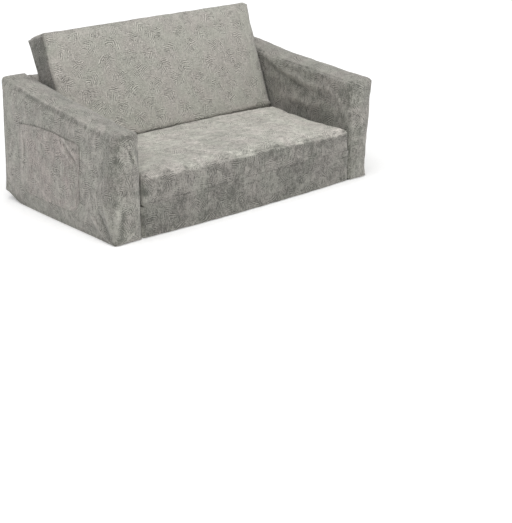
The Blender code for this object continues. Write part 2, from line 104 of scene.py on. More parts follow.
# Sizes that repeat the part's source
ARM_FRONT_HEIGHT = 0.292
BACKREST_LEAN = math.radians(19.0)
BACKREST_START = 0.0008
BACKREST_END = 0.376
BACKREST_PUFF = 0.011
BACKREST_REAR = -0.0007
BACKREST_FRONT = 0.0848
LINING_WAIST = 0.02
LINING_POWER = 2.0 / 2.6
LINING_THICKNESS = 0.0022
POCKET_CORNER = 0.045
POCKET_HEM_HEIGHT = 0.012

# Room left beside the seat's and the backrest's ends, and between fronts that meet when it is open
SEAT_ROOM = (0.002, 0.0008)
BACKREST_ROOM = 0.0008
FRONT_SETBACK = 0.0006
CREASE_ROOM = 0.002

# Crowns, seams and slow swells
CROWN = 0.006
ARM_CROWN = 0.003
SEAM_DEPTH = 0.0012
SEAM_REACH = 0.006
# Painted shade darkens the seams' grooves by this share
SEAM_SHADE = 0.6
GATHER_REACH = 0.03
GATHER_DEPTH = 0.0011
GATHER_LENGTH = 0.022
SWELL_LENGTH = 0.11
SWELL_DEPTH = 0.0016
RIPPLE_LENGTH = 0.038
RIPPLE_DEPTH = 0.0006
NOISE_BIAS = 0.6
FLUSH_REACH = 0.034
FLUSH_FADE = 0.02

# How the borders between the sides' naps wander
WANDER_LENGTHS = (0.035, 0.014)
WANDER_SHARE = 0.6
WANDER_TURN = 0.34

# The embossed sprigs
MOTIF_SPACING = 0.08
MOTIF_ROW = 0.049
MOTIF_HALF = (0.028, 0.021)
MOTIF_JITTER = 0.34
MOTIF_TILT = 2.6
MOTIF_DEPTH = 0.0007
MOTIF_SEED = 7
MOTIF_GAP = 0.24
MOTIF_GAP_FADE = 0.3
HASH_STEPS = (127.1, 311.7, 74.7)
HASH_SCALE = 43758.5453
NOISE_STEPS = (17.3, 5.1, 9.7)

# The covers' run of the cloth solver
SETTLE_FRAMES = 20
SETTLE_PRESSURE = 4.0
SETTLE_SPARE = -0.012
SETTLE_CAP = 0.006
SETTLE_MASS = 0.3
SETTLE_QUALITY = 4

# Where the soft forms begin and the reach over which they grow, negative towards the front, left or floor
PUSH_FROM = (0.02, -0.28)
PUSH_ACROSS = (0.0, 0.3)
LEFT_LEAN_FROM = (0.1, -0.34)
RIGHT_LEAN_FROM = (0.12, -0.38)
ARM_REAR_FROM = (0.02, 0.22)
ARM_REAR_UP = (0.55, 0.4)
RIGHT_FRONT_UP = (0.4, 0.4)
BASE_SPREAD_FROM = (-0.1, -0.16)
SEAT_RIGHT_FROM = (0.05, 0.33)
SEAT_LEFT_FROM = (-0.05, -0.33)
SEAT_END_FROM = (0.3, 0.07)
BACKREST_RIGHT_FROM = (0.0, 0.4)
BACKREST_LEFT_FROM = (-0.24, -0.13)
BACKREST_REAR_FROM = (0.05, -0.05)
LEFT_REAR_REACH = (0.06, 0.085, 0.09)

# How far the arms, the base pad, the seat and the backrest give way, lean and spread
RIGHT_PUSH = 0.007
LEFT_TOP_IN = 0.014
LEFT_FRONT_FOOT = 0.01
LEFT_REAR_FOOT = 0.016
LEFT_REAR_LIFT = 0.022
RIGHT_TOP_OUT = 0.0155
RIGHT_FOOT_IN = 0.002
RIGHT_BULGE = 0.0095
RIGHT_BULGE_AT = 0.6
RIGHT_BULGE_WIDTH = 0.3
ARM_REAR_RISE = 0.006
RIGHT_FRONT_RISE = 0.009
BASE_SPREAD = 0.013
BASE_SPREAD_HALF = 0.375
BASE_SPREAD_HEIGHT = 0.018
SEAT_LEFT_RISE = 0.006
SEAT_RIGHT_FALL = 0.01
SEAT_END_IN = 0.006
SEAT_END_AT = -0.09
SEAT_END_WIDTH = 0.07
BACKREST_RIGHT_IN = 0.006
BACKREST_LEFT_OUT = 0.007
BACKREST_LEFT_BACK = 0.006

# The shares of a soft fold line over which it starts and ends, and how soon a side takes it up
LINE_START = 0.25
LINE_END = 0.35
LINE_FACE_GAIN = 2.5

# The strips of cloth across the two fold lines
FOLD_REACH = 0.009
FOLD_PROUD = 0.0004
FOLD_SUNK = 0.0003
FOLD_STEPS = 10
FOLD_THICKNESS = 0.0006
FOLD_ARC = 0.001
FOLD_LAP = 0.0009
FOLD_BLEND = 0.002

# The lining's own waves and its paler top
LINING_SAMPLES = 400
LINING_CLEARANCE = 0.0025
LINING_HELD = 0.03
LINING_PLAIN = 0.008
LINING_WAVE = 0.0012
LINING_WAVE_LENGTH = 0.09
LINING_TONE = 0.82
LINING_TOP_TONE = 0.12

# The pocket's cloth; its swell and ripple are given by height and length
POCKET_THICKNESS = 0.0013
POCKET_CLEARANCE = 0.0003
POCKET_BULGE = 0.0042
POCKET_BULGE_REACH = 0.04
POCKET_HELD = 0.02
POCKET_PLAIN = 0.016
POCKET_SAG = 0.012
POCKET_MOUTH = 0.022
POCKET_SWELL = (0.001, 0.045)
POCKET_RIPPLE = (0.0007, 0.018)
POCKET_SEAM_GAP = 0.005
POCKET_SEAM_DEPTH = 0.001
POCKET_SEAM_WIDTH = 0.0025
POCKET_TONE = 0.66
POCKET_MOTTLE = 0.9
HEM_LINE = 1.2
HEM_LINE_WIDTH = 0.18
HEM_FOOT = (1.15, -0.2)
HEM_STITCHES_AT = 0.85
HEM_RAISED = 0.0009
HEM_GROOVE = 0.0007

# Stitches: pitch, length and radius of a row, and the profile along one stitch
POCKET_STITCH = (0.0042, 0.0031, 0.0004)
TAPE_STITCH = (0.003, 0.0022, 0.00028)
STITCH_SIDES = 6
STITCH_PROBE = 0.001
STITCH_PROFILE = ((-0.5, 0.25), (-0.38, 0.8), (0.0, 1.0), (0.38, 0.8), (0.5, 0.25))

# Undersides and zips
UNDERSIDE_INSET = 0.004
UNDERSIDE_THICKNESS = 0.0007
UNDERSIDE_UNEVEN = 0.00025
UNDERSIDE_UNEVEN_LENGTH = 0.03
TOOTH_PITCH = 0.0026
TOOTH_LENGTH = 0.0029
TOOTH_WIDTH = 0.0012
TOOTH_CHAMFER = 0.0003
TOOTH_OVERLAP = 0.0004
TAPE_COLUMNS = 12
TAPE_RIPPLE = 0.00012
TAPE_RIPPLE_LENGTH = 0.012
TAPE_SPARE = 0.0003
TAPE_SEAMS = (0.09, 0.91)
TAPE_SEAM_END = 0.002

X, Y, Z = range(3)
HIGH, LOW, FRONT, REAR, LEFT, RIGHT = range(6)


# Numbers and places


def smooth(share):
    """Eases from 0 to 1."""
    share = np.clip(share, 0.0, 1.0)
    return share * share * (3.0 - 2.0 * share)


def beyond(values, start, reach):
    """0 up to a start and 1 from one reach past it, eased between."""
    return smooth((values - start) / reach)


def bell(values, width):
    """1 at zero, and falling away over a width on both sides."""
    return np.exp(-((values / width) ** 2))


def bump_of(share, power=3.0):
    """1 in the middle of a side and 0 at its ends."""
    return 1.0 - np.abs(2.0 * share - 1.0) ** power


def noise_at(points, length, seed):
    """Smooth noise from -1 to 1 whose features are about one length across."""
    shift = Vector([seed * step for step in NOISE_STEPS])
    return np.array([noise.noise(Vector(point) / length + shift) for point in points])


def path_lengths(path):
    """The length of each step of a path, and how far along it each of its points lies."""
    lengths = np.linalg.norm(np.diff(path, axis=0), axis=1)
    return lengths, np.concatenate([[0.0], np.cumsum(lengths)])


def near_line(points, path):
    """Distance to a line of points, and the share of the way along it."""
    path = np.array(path, float)
    lengths, starts = path_lengths(path)
    best = np.full(len(points), np.inf)
    along = np.zeros(len(points))
    for index, length in enumerate(lengths):
        way = (path[index + 1] - path[index]) / length
        reach = np.clip((points - path[index]) @ way, 0.0, length)
        distance = np.linalg.norm(points - path[index] - reach[:, None] * way, axis=1)
        nearer = distance < best
        best[nearer] = distance[nearer]
        along[nearer] = ((starts[index] + reach) / starts[-1])[nearer]
    return best, along


# Surfaces


def box_surface(counts):
    """Whole-number places on a box's surface and the quads that join them."""
    index = np.full([count + 1 for count in counts], -1)
    places = np.indices(index.shape).reshape(3, -1).T
    on_surface = np.any((places == 0) | (places == np.array(counts)), axis=1)
    places = places[on_surface]
    index[tuple(places.T)] = np.arange(len(places))
    quads = []
    for axis in (X, Y, Z):
        for side in (0, 1):
            sheet = np.take(index, -side, axis=axis)
            if axis != Y:
                sheet = sheet.T
            ring = [sheet[:-1, :-1], sheet[1:, :-1], sheet[1:, 1:], sheet[:-1, 1:]]
            if side:
                ring.reverse()
            quads.append(np.stack(ring, axis=-1).reshape(-1, 4))
    return places, np.concatenate(quads)


def across_outline(outline, share_y, share_z):
    """Bilinear place in a four-sided outline given as front low, rear low, rear high, front high."""
    front_low, rear_low, rear_high, front_high = outline
    low = front_low + (rear_low - front_low) * share_y[:, None]
    high = front_high + (rear_high - front_high) * share_y[:, None]
    return low + (high - low) * share_z[:, None]


def mesh_normals(places, quads):
    """Unit normal at each vertex of a quad mesh."""
    corners = places[quads]
    flat = np.cross(corners[:, 2] - corners[:, 0], corners[:, 3] - corners[:, 1])
    normals = np.zeros_like(places)
    for turn in range(4):
        np.add.at(normals, quads[:, turn], flat)
    return normals / np.maximum(np.linalg.norm(normals, axis=1), 1e-12)[:, None]


def face_shares(normals):
    """How far each vertex belongs to the high, low, front, rear, left and right sides."""
    sides = [normals[:, Z], -normals[:, Z], -normals[:, Y], normals[:, Y], -normals[:, X], normals[:, X]]
    shares = np.clip(np.column_stack(sides), 0.0, None) ** 4
    return shares / np.maximum(shares.sum(axis=1), 1e-9)[:, None]


def creased(points, normals, lines, faces):
    """Points moved out or in along soft fold lines, and how far each lies on one.

    Each line is (side, width, height, *places), with x and z for the front and y and z for the left side.
    """
    moves = np.zeros(len(points))
    ridges = np.zeros(len(points))
    for side, width, height, *path in lines:
        distance, along = near_line(np.delete(points, Y if side == FRONT else X, axis=1), path)
        share = smooth(along / LINE_START) * smooth((1.0 - along) / LINE_END) * bell(distance, width)
        share *= smooth(LINE_FACE_GAIN * faces[:, side])
        moves += height * share
        ridges += math.copysign(1.0, height) * share
    return points + normals * moves[:, None], ridges


def thick_sheet(outer, thickness, flip=False):
    """Closed skin of a grid of places with a thickness behind it."""
    normals = np.cross(np.gradient(outer, axis=0), np.gradient(outer, axis=1))
    normals /= np.maximum(np.linalg.norm(normals, axis=2), 1e-12)[:, :, None]
    if flip:
        normals = -normals
    inner = outer - normals * thickness
    rows, columns = outer.shape[:2]
    behind = rows * columns
    places = np.concatenate([outer.reshape(-1, 3), inner.reshape(-1, 3)])
    index = np.arange(behind).reshape(rows, columns)
    back = index + behind
    ring = [index[:-1, :-1], index[1:, :-1], index[1:, 1:], index[:-1, 1:]]
    back_ring = [back[:-1, :-1], back[:-1, 1:], back[1:, 1:], back[1:, :-1]]
    border = np.concatenate([index[:-1, 0], index[-1, :-1], index[:0:-1, -1], index[0, :0:-1]])
    following = np.roll(border, -1)
    rim = np.column_stack([border, border + behind, following + behind, following])
    quads = np.concatenate([np.stack(ring, -1).reshape(-1, 4), np.stack(back_ring, -1).reshape(-1, 4), rim])
    if flip:
        quads = quads[:, ::-1]
    return places, quads, np.concatenate([normals.reshape(-1, 3)] * 2)


# Sprigs


def hash_share(rows, columns, salt):
    """A fixed share from 0 to 1 for each cell of a layout."""
    mixed = rows * HASH_STEPS[0] + columns * HASH_STEPS[1] + salt * HASH_STEPS[2] + MOTIF_SEED
    mixed = np.sin(mixed) * HASH_SCALE
    return mixed - np.floor(mixed)


def motif_places(flat):
    """Local place in the nearest sprig, in shares of its half size, and how far it is from the next."""
    best = np.full(len(flat), np.inf)
    second = np.full(len(flat), np.inf)
    local = np.zeros((len(flat), 2))
    base_row = np.round(flat[:, 1] / MOTIF_ROW)
    for step_row in (-1, 0, 1):
        row = base_row + step_row
        offset = (row % 2) * 0.5
        base_column = np.round(flat[:, 0] / MOTIF_SPACING - offset)
        for step_column in (-1, 0, 1):
            column = base_column + step_column
            jitter_x = (hash_share(row, column, 1) - 0.5) * MOTIF_JITTER
            jitter_y = (hash_share(row, column, 2) - 0.5) * MOTIF_JITTER
            away_x = flat[:, 0] - (column + offset + jitter_x) * MOTIF_SPACING
            away_y = flat[:, 1] - (row + jitter_y) * MOTIF_ROW
            angle = (hash_share(row, column, 3) - 0.5) * MOTIF_TILT
            flip = np.where(hash_share(row, column, 4) < 0.5, -1.0, 1.0)
            turned_x = (away_x * np.cos(angle) - away_y * np.sin(angle)) * flip / MOTIF_HALF[0]
            turned_y = (away_x * np.sin(angle) + away_y * np.cos(angle)) / MOTIF_HALF[1]
            distance = np.hypot(turned_x, turned_y)
            nearer = distance < best
            second = np.where(nearer, best, np.minimum(second, distance))
            best = np.where(nearer, distance, best)
            local[nearer] = np.stack([turned_x, turned_y], axis=1)[nearer]
    return local, smooth((second - best - MOTIF_GAP) / MOTIF_GAP_FADE)


def sprig_depth(local, clear):
    """How deep the sprigs are pressed."""
    return MOTIF_DEPTH * (smooth((1.0 - np.linalg.norm(local, axis=1)) / 0.5) * clear)


# Pieces


def add_attribute(mesh, name, values):
    """Writes one value or one vector for each vertex."""
    kind, field = ("FLOAT", "value") if values.ndim == 1 else ("FLOAT_VECTOR", "vector")
    attribute = mesh.attributes.new(name, kind, "POINT")
    attribute.data.foreach_set(field, values.astype(np.float32).ravel())


def add_object(name, data):
    """An object in the scene."""
    item = bpy.data.objects.new(name, data)
    bpy.context.scene.collection.objects.link(item)
    return item


def make_piece(name, places, quads, material, body):
    """A smooth mesh piece, which rides on a body if one is given."""
    mesh = bpy.data.meshes.new(name)
    mesh.from_pydata(places.tolist(), [], quads.tolist())
    mesh.shade_smooth()
    mesh.materials.append(material)
    piece = add_object(name, mesh)
    if body:
        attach(piece, body)
    return piece


def dress(piece, rest, local, clear, seam, nap, mottle):
    """Writes what the plush material reads at each vertex."""
    add_attribute(piece.data, "mottle", mottle)
    add_attribute(piece.data, "rest_place", rest)
    add_attribute(piece.data, "motif", np.column_stack([local, clear]))
    # The seam value is painted shade in seam and fold grooves and painted highlight on fold ridges; the nap
    # value's first part is painted light and shade
    add_attribute(piece.data, "seam", seam)
    add_attribute(piece.data, "nap", nap)


def dress_sheet(piece, rest, *values):
    """Writes what the plush material reads, the same on both skins of a sheet."""
    dress(piece, rest, *(np.concatenate([item, item]) for item in values))


def plain_nap(tone, count):
    """The nap of upright pile with one tone or a tone for each vertex."""
    return np.column_stack([np.full(count, tone), np.zeros(count), np.zeros(count)])


def stitches(name, path, outward, pitch, length, radius):
    """A row of short thread stitches along a line of points, each a small rounded bar."""
    outward = np.array(outward)
    starts = path_lengths(path)[1]
    turns = np.linspace(0.0, 2 * math.pi, STITCH_SIDES + 1)[:-1]
    places, quads = [], []
    for index in range(int(starts[-1] / pitch)):
        probes = [(index + 0.5) * pitch + step for step in (-STITCH_PROBE, STITCH_PROBE)]
        before, after = np.column_stack([np.interp(probes, starts, path[:, axis]) for axis in (X, Y, Z)])
        way = (after - before) / np.linalg.norm(after - before)
        up = outward - way * (outward @ way)
        up /= np.linalg.norm(up)
        side = np.cross(way, up)
        centre = (before + after) / 2
        first = len(places)
        for along, width in STITCH_PROFILE:
            for turn in turns:
                ray = side * math.cos(turn) + up * math.sin(turn)
                places.append(centre + way * along * length + ray * radius * width)
        for start in range(first, len(places) - STITCH_SIDES, STITCH_SIDES):
            for step in range(STITCH_SIDES):
                a = start + step
                b = start + (step + 1) % STITCH_SIDES
                quads.append((a, b, b + STITCH_SIDES, a + STITCH_SIDES))
        for start in (first, len(places) - STITCH_SIDES):
            cap = [(start, start + 1, start + 2, start + 3), (start, start + 3, start + 4, start + 5)]
            quads += [face[::-1] for face in cap] if start == first else cap
    return make_piece(name, np.array(places), np.array(quads), THREAD, "base")


# Pads: values for the six sides are in the order high, low, front, rear, left, right
PADS = []
NO_SIDE = (0.0,) * 6
PAD_DEFAULTS = {
    "parts": ("cover", "foam"),
    "cell": CELL,
    "wrap_start": 0.0,
    "end_shift": 0.0,
    "full_to": None,
    "flush_at": None,
    "crowns": NO_SIDE,
    "settles": NO_SIDE,
    "streaks": NO_SIDE,
    "streaks_along": NO_SIDE,
    "mottles": (0.6, 0.6, 1, 0.7, 1, 1),
    # Painted light and shade: a pad's front lighter towards its top, strips of it by side, and its gain on
    # the fold lines
    "glow": 0.0,
    "bands": (),
    "folds": (),
    "fold_tone": 0.0,
    "bends": (),
    "fill": 0.95,
}


def add_pad(name, body, **spec):
    """Lists a pad with its own sizes and looks."""
    PADS.append({**PAD_DEFAULTS, "name": name, "body": body, **spec})


def rounded_block(spec):
    """A lattice wrapped round a four-sided block, with its own radius for each kind of edge.

    edges holds the radii at the outline's corners, ends those of the low and high edges of the two
    end panels, and sides those of the end panels' front and rear edges.
    """
    outline = [np.array(point, float) for point in spec["outline"]]
    span, edges, ends, sides = spec["span"], spec["edges"], spec["ends"], spec["sides"]
    depth = (np.linalg.norm(outline[1] - outline[0]) + np.linalg.norm(outline[2] - outline[3])) / 2
    height = (np.linalg.norm(outline[3] - outline[0]) + np.linalg.norm(outline[2] - outline[1])) / 2
    size = np.array([span[1] - span[0], depth, height])
    counts = np.maximum(np.round(size / spec["cell"]).astype(int), 6)
    lattice, quads = box_surface(counts)
    share = lattice / counts
    sharp = share * size
    gap_x, gap_y, gap_z = np.minimum(sharp, size - sharp).T
    share_y, share_z = share[:, Y], share[:, Z]
    outline_radius = (
        edges[0] * (1 - share_y) * (1 - share_z)
        + edges[1] * share_y * (1 - share_z)
        + edges[2] * share_y * share_z
        + edges[3] * (1 - share_y) * share_z
    )
    end_radius = ends[0] * (1 - share_z) + ends[1] * share_z
    side_radius = sides[0] * (1 - share_y) + sides[1] * share_y
    pairs = ((gap_y, gap_z), (gap_x, gap_z), (gap_x, gap_y))
    weights = [1.0 / (one**2 + other**2 + EDGE_BLEND**2) ** 2 for one, other in pairs]
    radius = weights[0] * outline_radius + weights[1] * end_radius + weights[2] * side_radius
    radius = (radius / (weights[0] + weights[1] + weights[2]))[:, None]
    inner = np.clip(sharp, radius, size - radius)
    away = sharp - inner
    rounded = inner + radius * away / np.maximum(np.linalg.norm(away, axis=1), 1e-9)[:, None]
    in_plane = across_outline(outline, rounded[:, Y] / size[Y], rounded[:, Z] / size[Z])
    points = np.column_stack([span[0] + rounded[:, X], in_plane])
    return points, quads, lattice, counts, size


def make_pad(spec):
    """The rounded, crowned form of a pad, and what its finish needs, from its named sizes."""
    points, quads, lattice, counts, size = rounded_block(spec)
    share = lattice / counts
    sharp = share * size

    # Cloth coordinates: one strip wraps round the outline, and each end has its own panel
    inner_y = (lattice[:, Y] > 0) & (lattice[:, Y] < counts[Y])
    inner_z = (lattice[:, Z] > 0) & (lattice[:, Z] < counts[Z])
    on_end = ((lattice[:, X] == 0) | (lattice[:, X] == counts[X])) & inner_y & inner_z
    flat_y, flat_z = sharp[:, Y], sharp[:, Z]
    wrap = np.select(
        [lattice[:, Y] == 0, lattice[:, Z] == counts[Z], lattice[:, Y] == counts[Y]],
        [flat_z, size[Z] + flat_y, size[Z] + size[Y] + size[Z] - flat_z],
        -flat_y,
    )
    strip = np.column_stack([spec["span"][0] + sharp[:, X], wrap + spec["wrap_start"]])
    cloth = np.where(on_end[:, None], np.column_stack([flat_y, flat_z]) + spec["end_shift"], strip)
    end_gap = np.minimum(sharp[:, X], size[X] - sharp[:, X])
    side_gap = np.minimum(np.minimum(flat_y, size[Y] - flat_y), np.minimum(flat_z, size[Z] - flat_z))

    # Crowns, as far as each side swells
    normals = mesh_normals(points, quads)
    x_bump, y_bump, z_bump = (bump_of(share[:, axis]) for axis in (X, Y, Z))
    if spec["full_to"] is not None:
        y_bump = np.where(np.abs(share[:, Y] - spec["full_to"]) < 0.5, 1.0, y_bump)
    bumps = np.column_stack([x_bump * y_bump, x_bump * z_bump, y_bump * z_bump])
    crown = (face_shares(normals) * np.array(spec["crowns"]) * np.repeat(bumps, 2, axis=1)).sum(axis=1)
    return {
        "spec": spec,
        "points": points + normals * crown[:, None],
        "quads": quads,
        "cloth": cloth,
        "seam_gap": np.where(on_end, side_gap, end_gap),
        "lift": share[:, Z],
    }


def settle(pads):
    """Lets each pad's cover swell and pucker as cloth, all of them in one run of the cloth solver."""
    scene = bpy.context.scene
    covers = []
    for pad in pads:
        mesh = bpy.data.meshes.new("settling_cover")
        mesh.from_pydata(pad["points"].tolist(), [], pad["quads"].tolist())
        cover = add_object("settling_cover", mesh)
        cloth = cover.modifiers.new("cloth", "CLOTH")
        cloth.settings.quality = SETTLE_QUALITY
        cloth.settings.mass = SETTLE_MASS
        cloth.settings.use_pressure = True
        cloth.settings.uniform_pressure_force = SETTLE_PRESSURE
        cloth.settings.shrink_min = SETTLE_SPARE
        cloth.settings.effector_weights.gravity = 0.0
        cloth.collision_settings.use_collision = False
        cloth.point_cache.frame_start = 1
        cloth.point_cache.frame_end = SETTLE_FRAMES
        covers.append(cover)
    for step in range(1, SETTLE_FRAMES + 1):
        scene.frame_set(step)
    graph = bpy.context.evaluated_depsgraph_get()
    for pad, cover in zip(pads, covers):
        settled = np.empty(len(pad["points"]) * 3, dtype=np.float32)
        cover.evaluated_get(graph).data.vertices.foreach_get("co", settled)
        moves = settled.reshape(-1, 3) - pad["points"]
        length = np.linalg.norm(moves, axis=1)
        cap = SETTLE_CAP * np.tanh(length / SETTLE_CAP) / np.maximum(length, 1e-9)
        allowed = face_shares(mesh_normals(pad["points"], pad["quads"])) @ np.array(pad["spec"]["settles"])
        pad["points"] = pad["points"] + moves * (cap * allowed)[:, None]
    for cover in covers:
        bpy.data.objects.remove(cover, do_unlink=True)
    scene.frame_set(1)


def finish_pad(pad):
    """Adds swells, gathers, seams, sprigs and folds to a pad's form, and makes it a piece."""
    spec, rest, quads, seam_gap = pad["spec"], pad["points"], pad["quads"], pad["seam_gap"]
    normals = mesh_normals(rest, quads)
    faces = face_shares(normals)
    groove = bell(seam_gap, SEAM_REACH)
    moves = SWELL_DEPTH * (noise_at(rest, SWELL_LENGTH, 1) - NOISE_BIAS)
    moves += RIPPLE_DEPTH * (noise_at(rest, RIPPLE_LENGTH, 2) - NOISE_BIAS)
    moves += GATHER_DEPTH * bell(seam_gap, GATHER_REACH) * noise_at(rest, GATHER_LENGTH, 3)
    moves -= SEAM_DEPTH * groove
    moves *= faces @ np.array(spec["moves"])
    local, apart = motif_places(pad["cloth"])
    clear = smooth((seam_gap - CELL) / CELL) * apart
    moves -= sprig_depth(local, clear)
    if spec["flush_at"] is not None:
        near_fold = smooth((FLUSH_REACH - np.abs(rest[:, Z] - spec["flush_at"])) / FLUSH_FADE)
        moves *= 1.0 - near_fold * smooth(faces[:, FRONT] * 2.0)
    points = rest + normals * moves[:, None]
    points, ridges = creased(points, normals, spec["folds"], faces)
    # Painted shade in the seams' and folds' grooves, painted highlights on the folds' ridges
    shading = SEAM_SHADE * groove - spec["fold_tone"] * ridges
    for bend in spec["bends"]:
        points = bend(points)

    # Nap: each side's pile lies its own way and the borders between sides wander; each side's tone is painted
    # light and shade
    slow, fast = WANDER_LENGTHS
    wander = [noise_at(rest, slow, seed) + WANDER_SHARE * noise_at(rest, fast, seed) for seed in (5, 6, 7)]
    napped = face_shares(normals + WANDER_TURN * np.column_stack(wander))
    # Painted light: a pad's front lighter towards its top, with strips of painted light and shade by side
    glow = 1.0 + spec["glow"] * napped[:, FRONT] * smooth(1.7 * pad["lift"] - 0.7)
    for side, axis, centre, width, gain in spec["bands"]:
        glow += gain * napped[:, side] * bell(rest[:, axis] - centre, width)
    tones, streaks, streaks_along, mottle = (
        napped @ np.array(spec[key]) for key in ("tones", "streaks", "streaks_along", "mottles")
    )
    piece = make_piece(f"{spec['name']}_plush", points, quads, COVER, spec["body"])
    dress(piece, rest, local, clear, shading, np.column_stack([glow * tones, streaks, streaks_along]), mottle)
    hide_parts(*(f"{spec['name']}_{part}" for part in spec["parts"]))
    pad["placed"] = points


# Materials


class Look:
    """A node material whose nodes are made and linked by short calls."""

    def __init__(self, name):
        self.material = bpy.data.materials.new(name)
        self.material.use_nodes = True
        self.tree = self.material.node_tree

    def put(self, node, inputs):
        """Gives a node's inputs their values, or links other nodes' outputs to them."""
        for key, value in inputs.items():
            if isinstance(value, bpy.types.NodeSocket):
                self.tree.links.new(value, node.inputs[key])
            else:
                node.inputs[key].default_value = value

    def node(self, kind, inputs, output=0, **settings):
        """A new node's output."""
        node = self.tree.nodes.new(f"ShaderNode{kind}")
        for name, value in settings.items():
            setattr(node, name, value)
        self.put(node, inputs)
        return node.outputs[output]

    def surface(self, **inputs):
        """The material, once its shader has its inputs."""
        self.put(self.tree.nodes["Principled BSDF"], {key.replace("_", " "): inputs[key] for key in inputs})
        return self.material

    def math(self, operation, *values, clamp=False):
        """One sum on values."""
        return self.node("Math", dict(enumerate(values)), operation=operation, use_clamp=clamp)

    def times(self, first, second):
        """The first times the second."""
        return self.math("MULTIPLY", first, second)

    def times_plus(self, first, second, third, clamp=False):
        """The first times the second, plus the third."""
        return self.math("MULTIPLY_ADD", first, second, third, clamp=clamp)

    def minus(self, first, second):
        """The first less the second."""
        return self.math("SUBTRACT", first, second)

    def ramp(self, value, low, high, to_low=0.0, to_high=1.0):
        """A value eased from one range to another."""
        inputs = {"Value": value, "From Min": low, "From Max": high, "To Min": to_low, "To Max": to_high}
        return self.node("MapRange", inputs, "Result", interpolation_type="SMOOTHSTEP")

    def noise(self, vector, scale, detail=2.0, roughness=0.5, distortion=0.0):
        """Noise at a place, from 0 to 1."""
        inputs = {"Vector": vector, "Scale": scale, "Detail": detail, "Roughness": roughness}
        return self.node("TexNoise", {**inputs, "Distortion": distortion}, "Fac")

    def wave(self, vector, scale, direction):
        """Bands across one direction."""
        return self.node("TexWave", {"Vector": vector, "Scale": scale}, "Fac", bands_direction=direction)

    def attribute(self, name, output="Vector"):
        """What a piece's vertices carry under a name."""
        return self.node("Attribute", {}, output, attribute_name=name)

    def place(self):
        """The place in the piece's own coordinates."""
        return self.node("TexCoord", {}, "Object")

    def product(self, vector, factors):
        """Two vectors or colours multiplied part by part."""
        return self.node("VectorMath", {0: vector, 1: factors}, operation="MULTIPLY")

    def split(self, vector):
        """The three parts of a vector."""
        return [self.node("SeparateXYZ", {0: vector}, part) for part in (X, Y, Z)]

    def mix(self, factor, dark, light):
        """A colour between two."""
        node = self.tree.nodes.new("ShaderNodeMix")
        node.data_type = "RGBA"
        self.put(node, {"Factor": factor})
        colours = [socket for socket in node.inputs if socket.type == "RGBA"]
        colours[0].default_value = (*dark, 1.0)
        colours[1].default_value = (*light, 1.0)
        return next(socket for socket in node.outputs if socket.type == "RGBA")

    def bump(self, height, distance, **before):
        """A normal raised by a height, over a normal before it if one is given."""
        inputs = {"Height": height, "Distance": distance, "Strength": 1.0, **before}
        return self.node("Bump", inputs, "Normal")


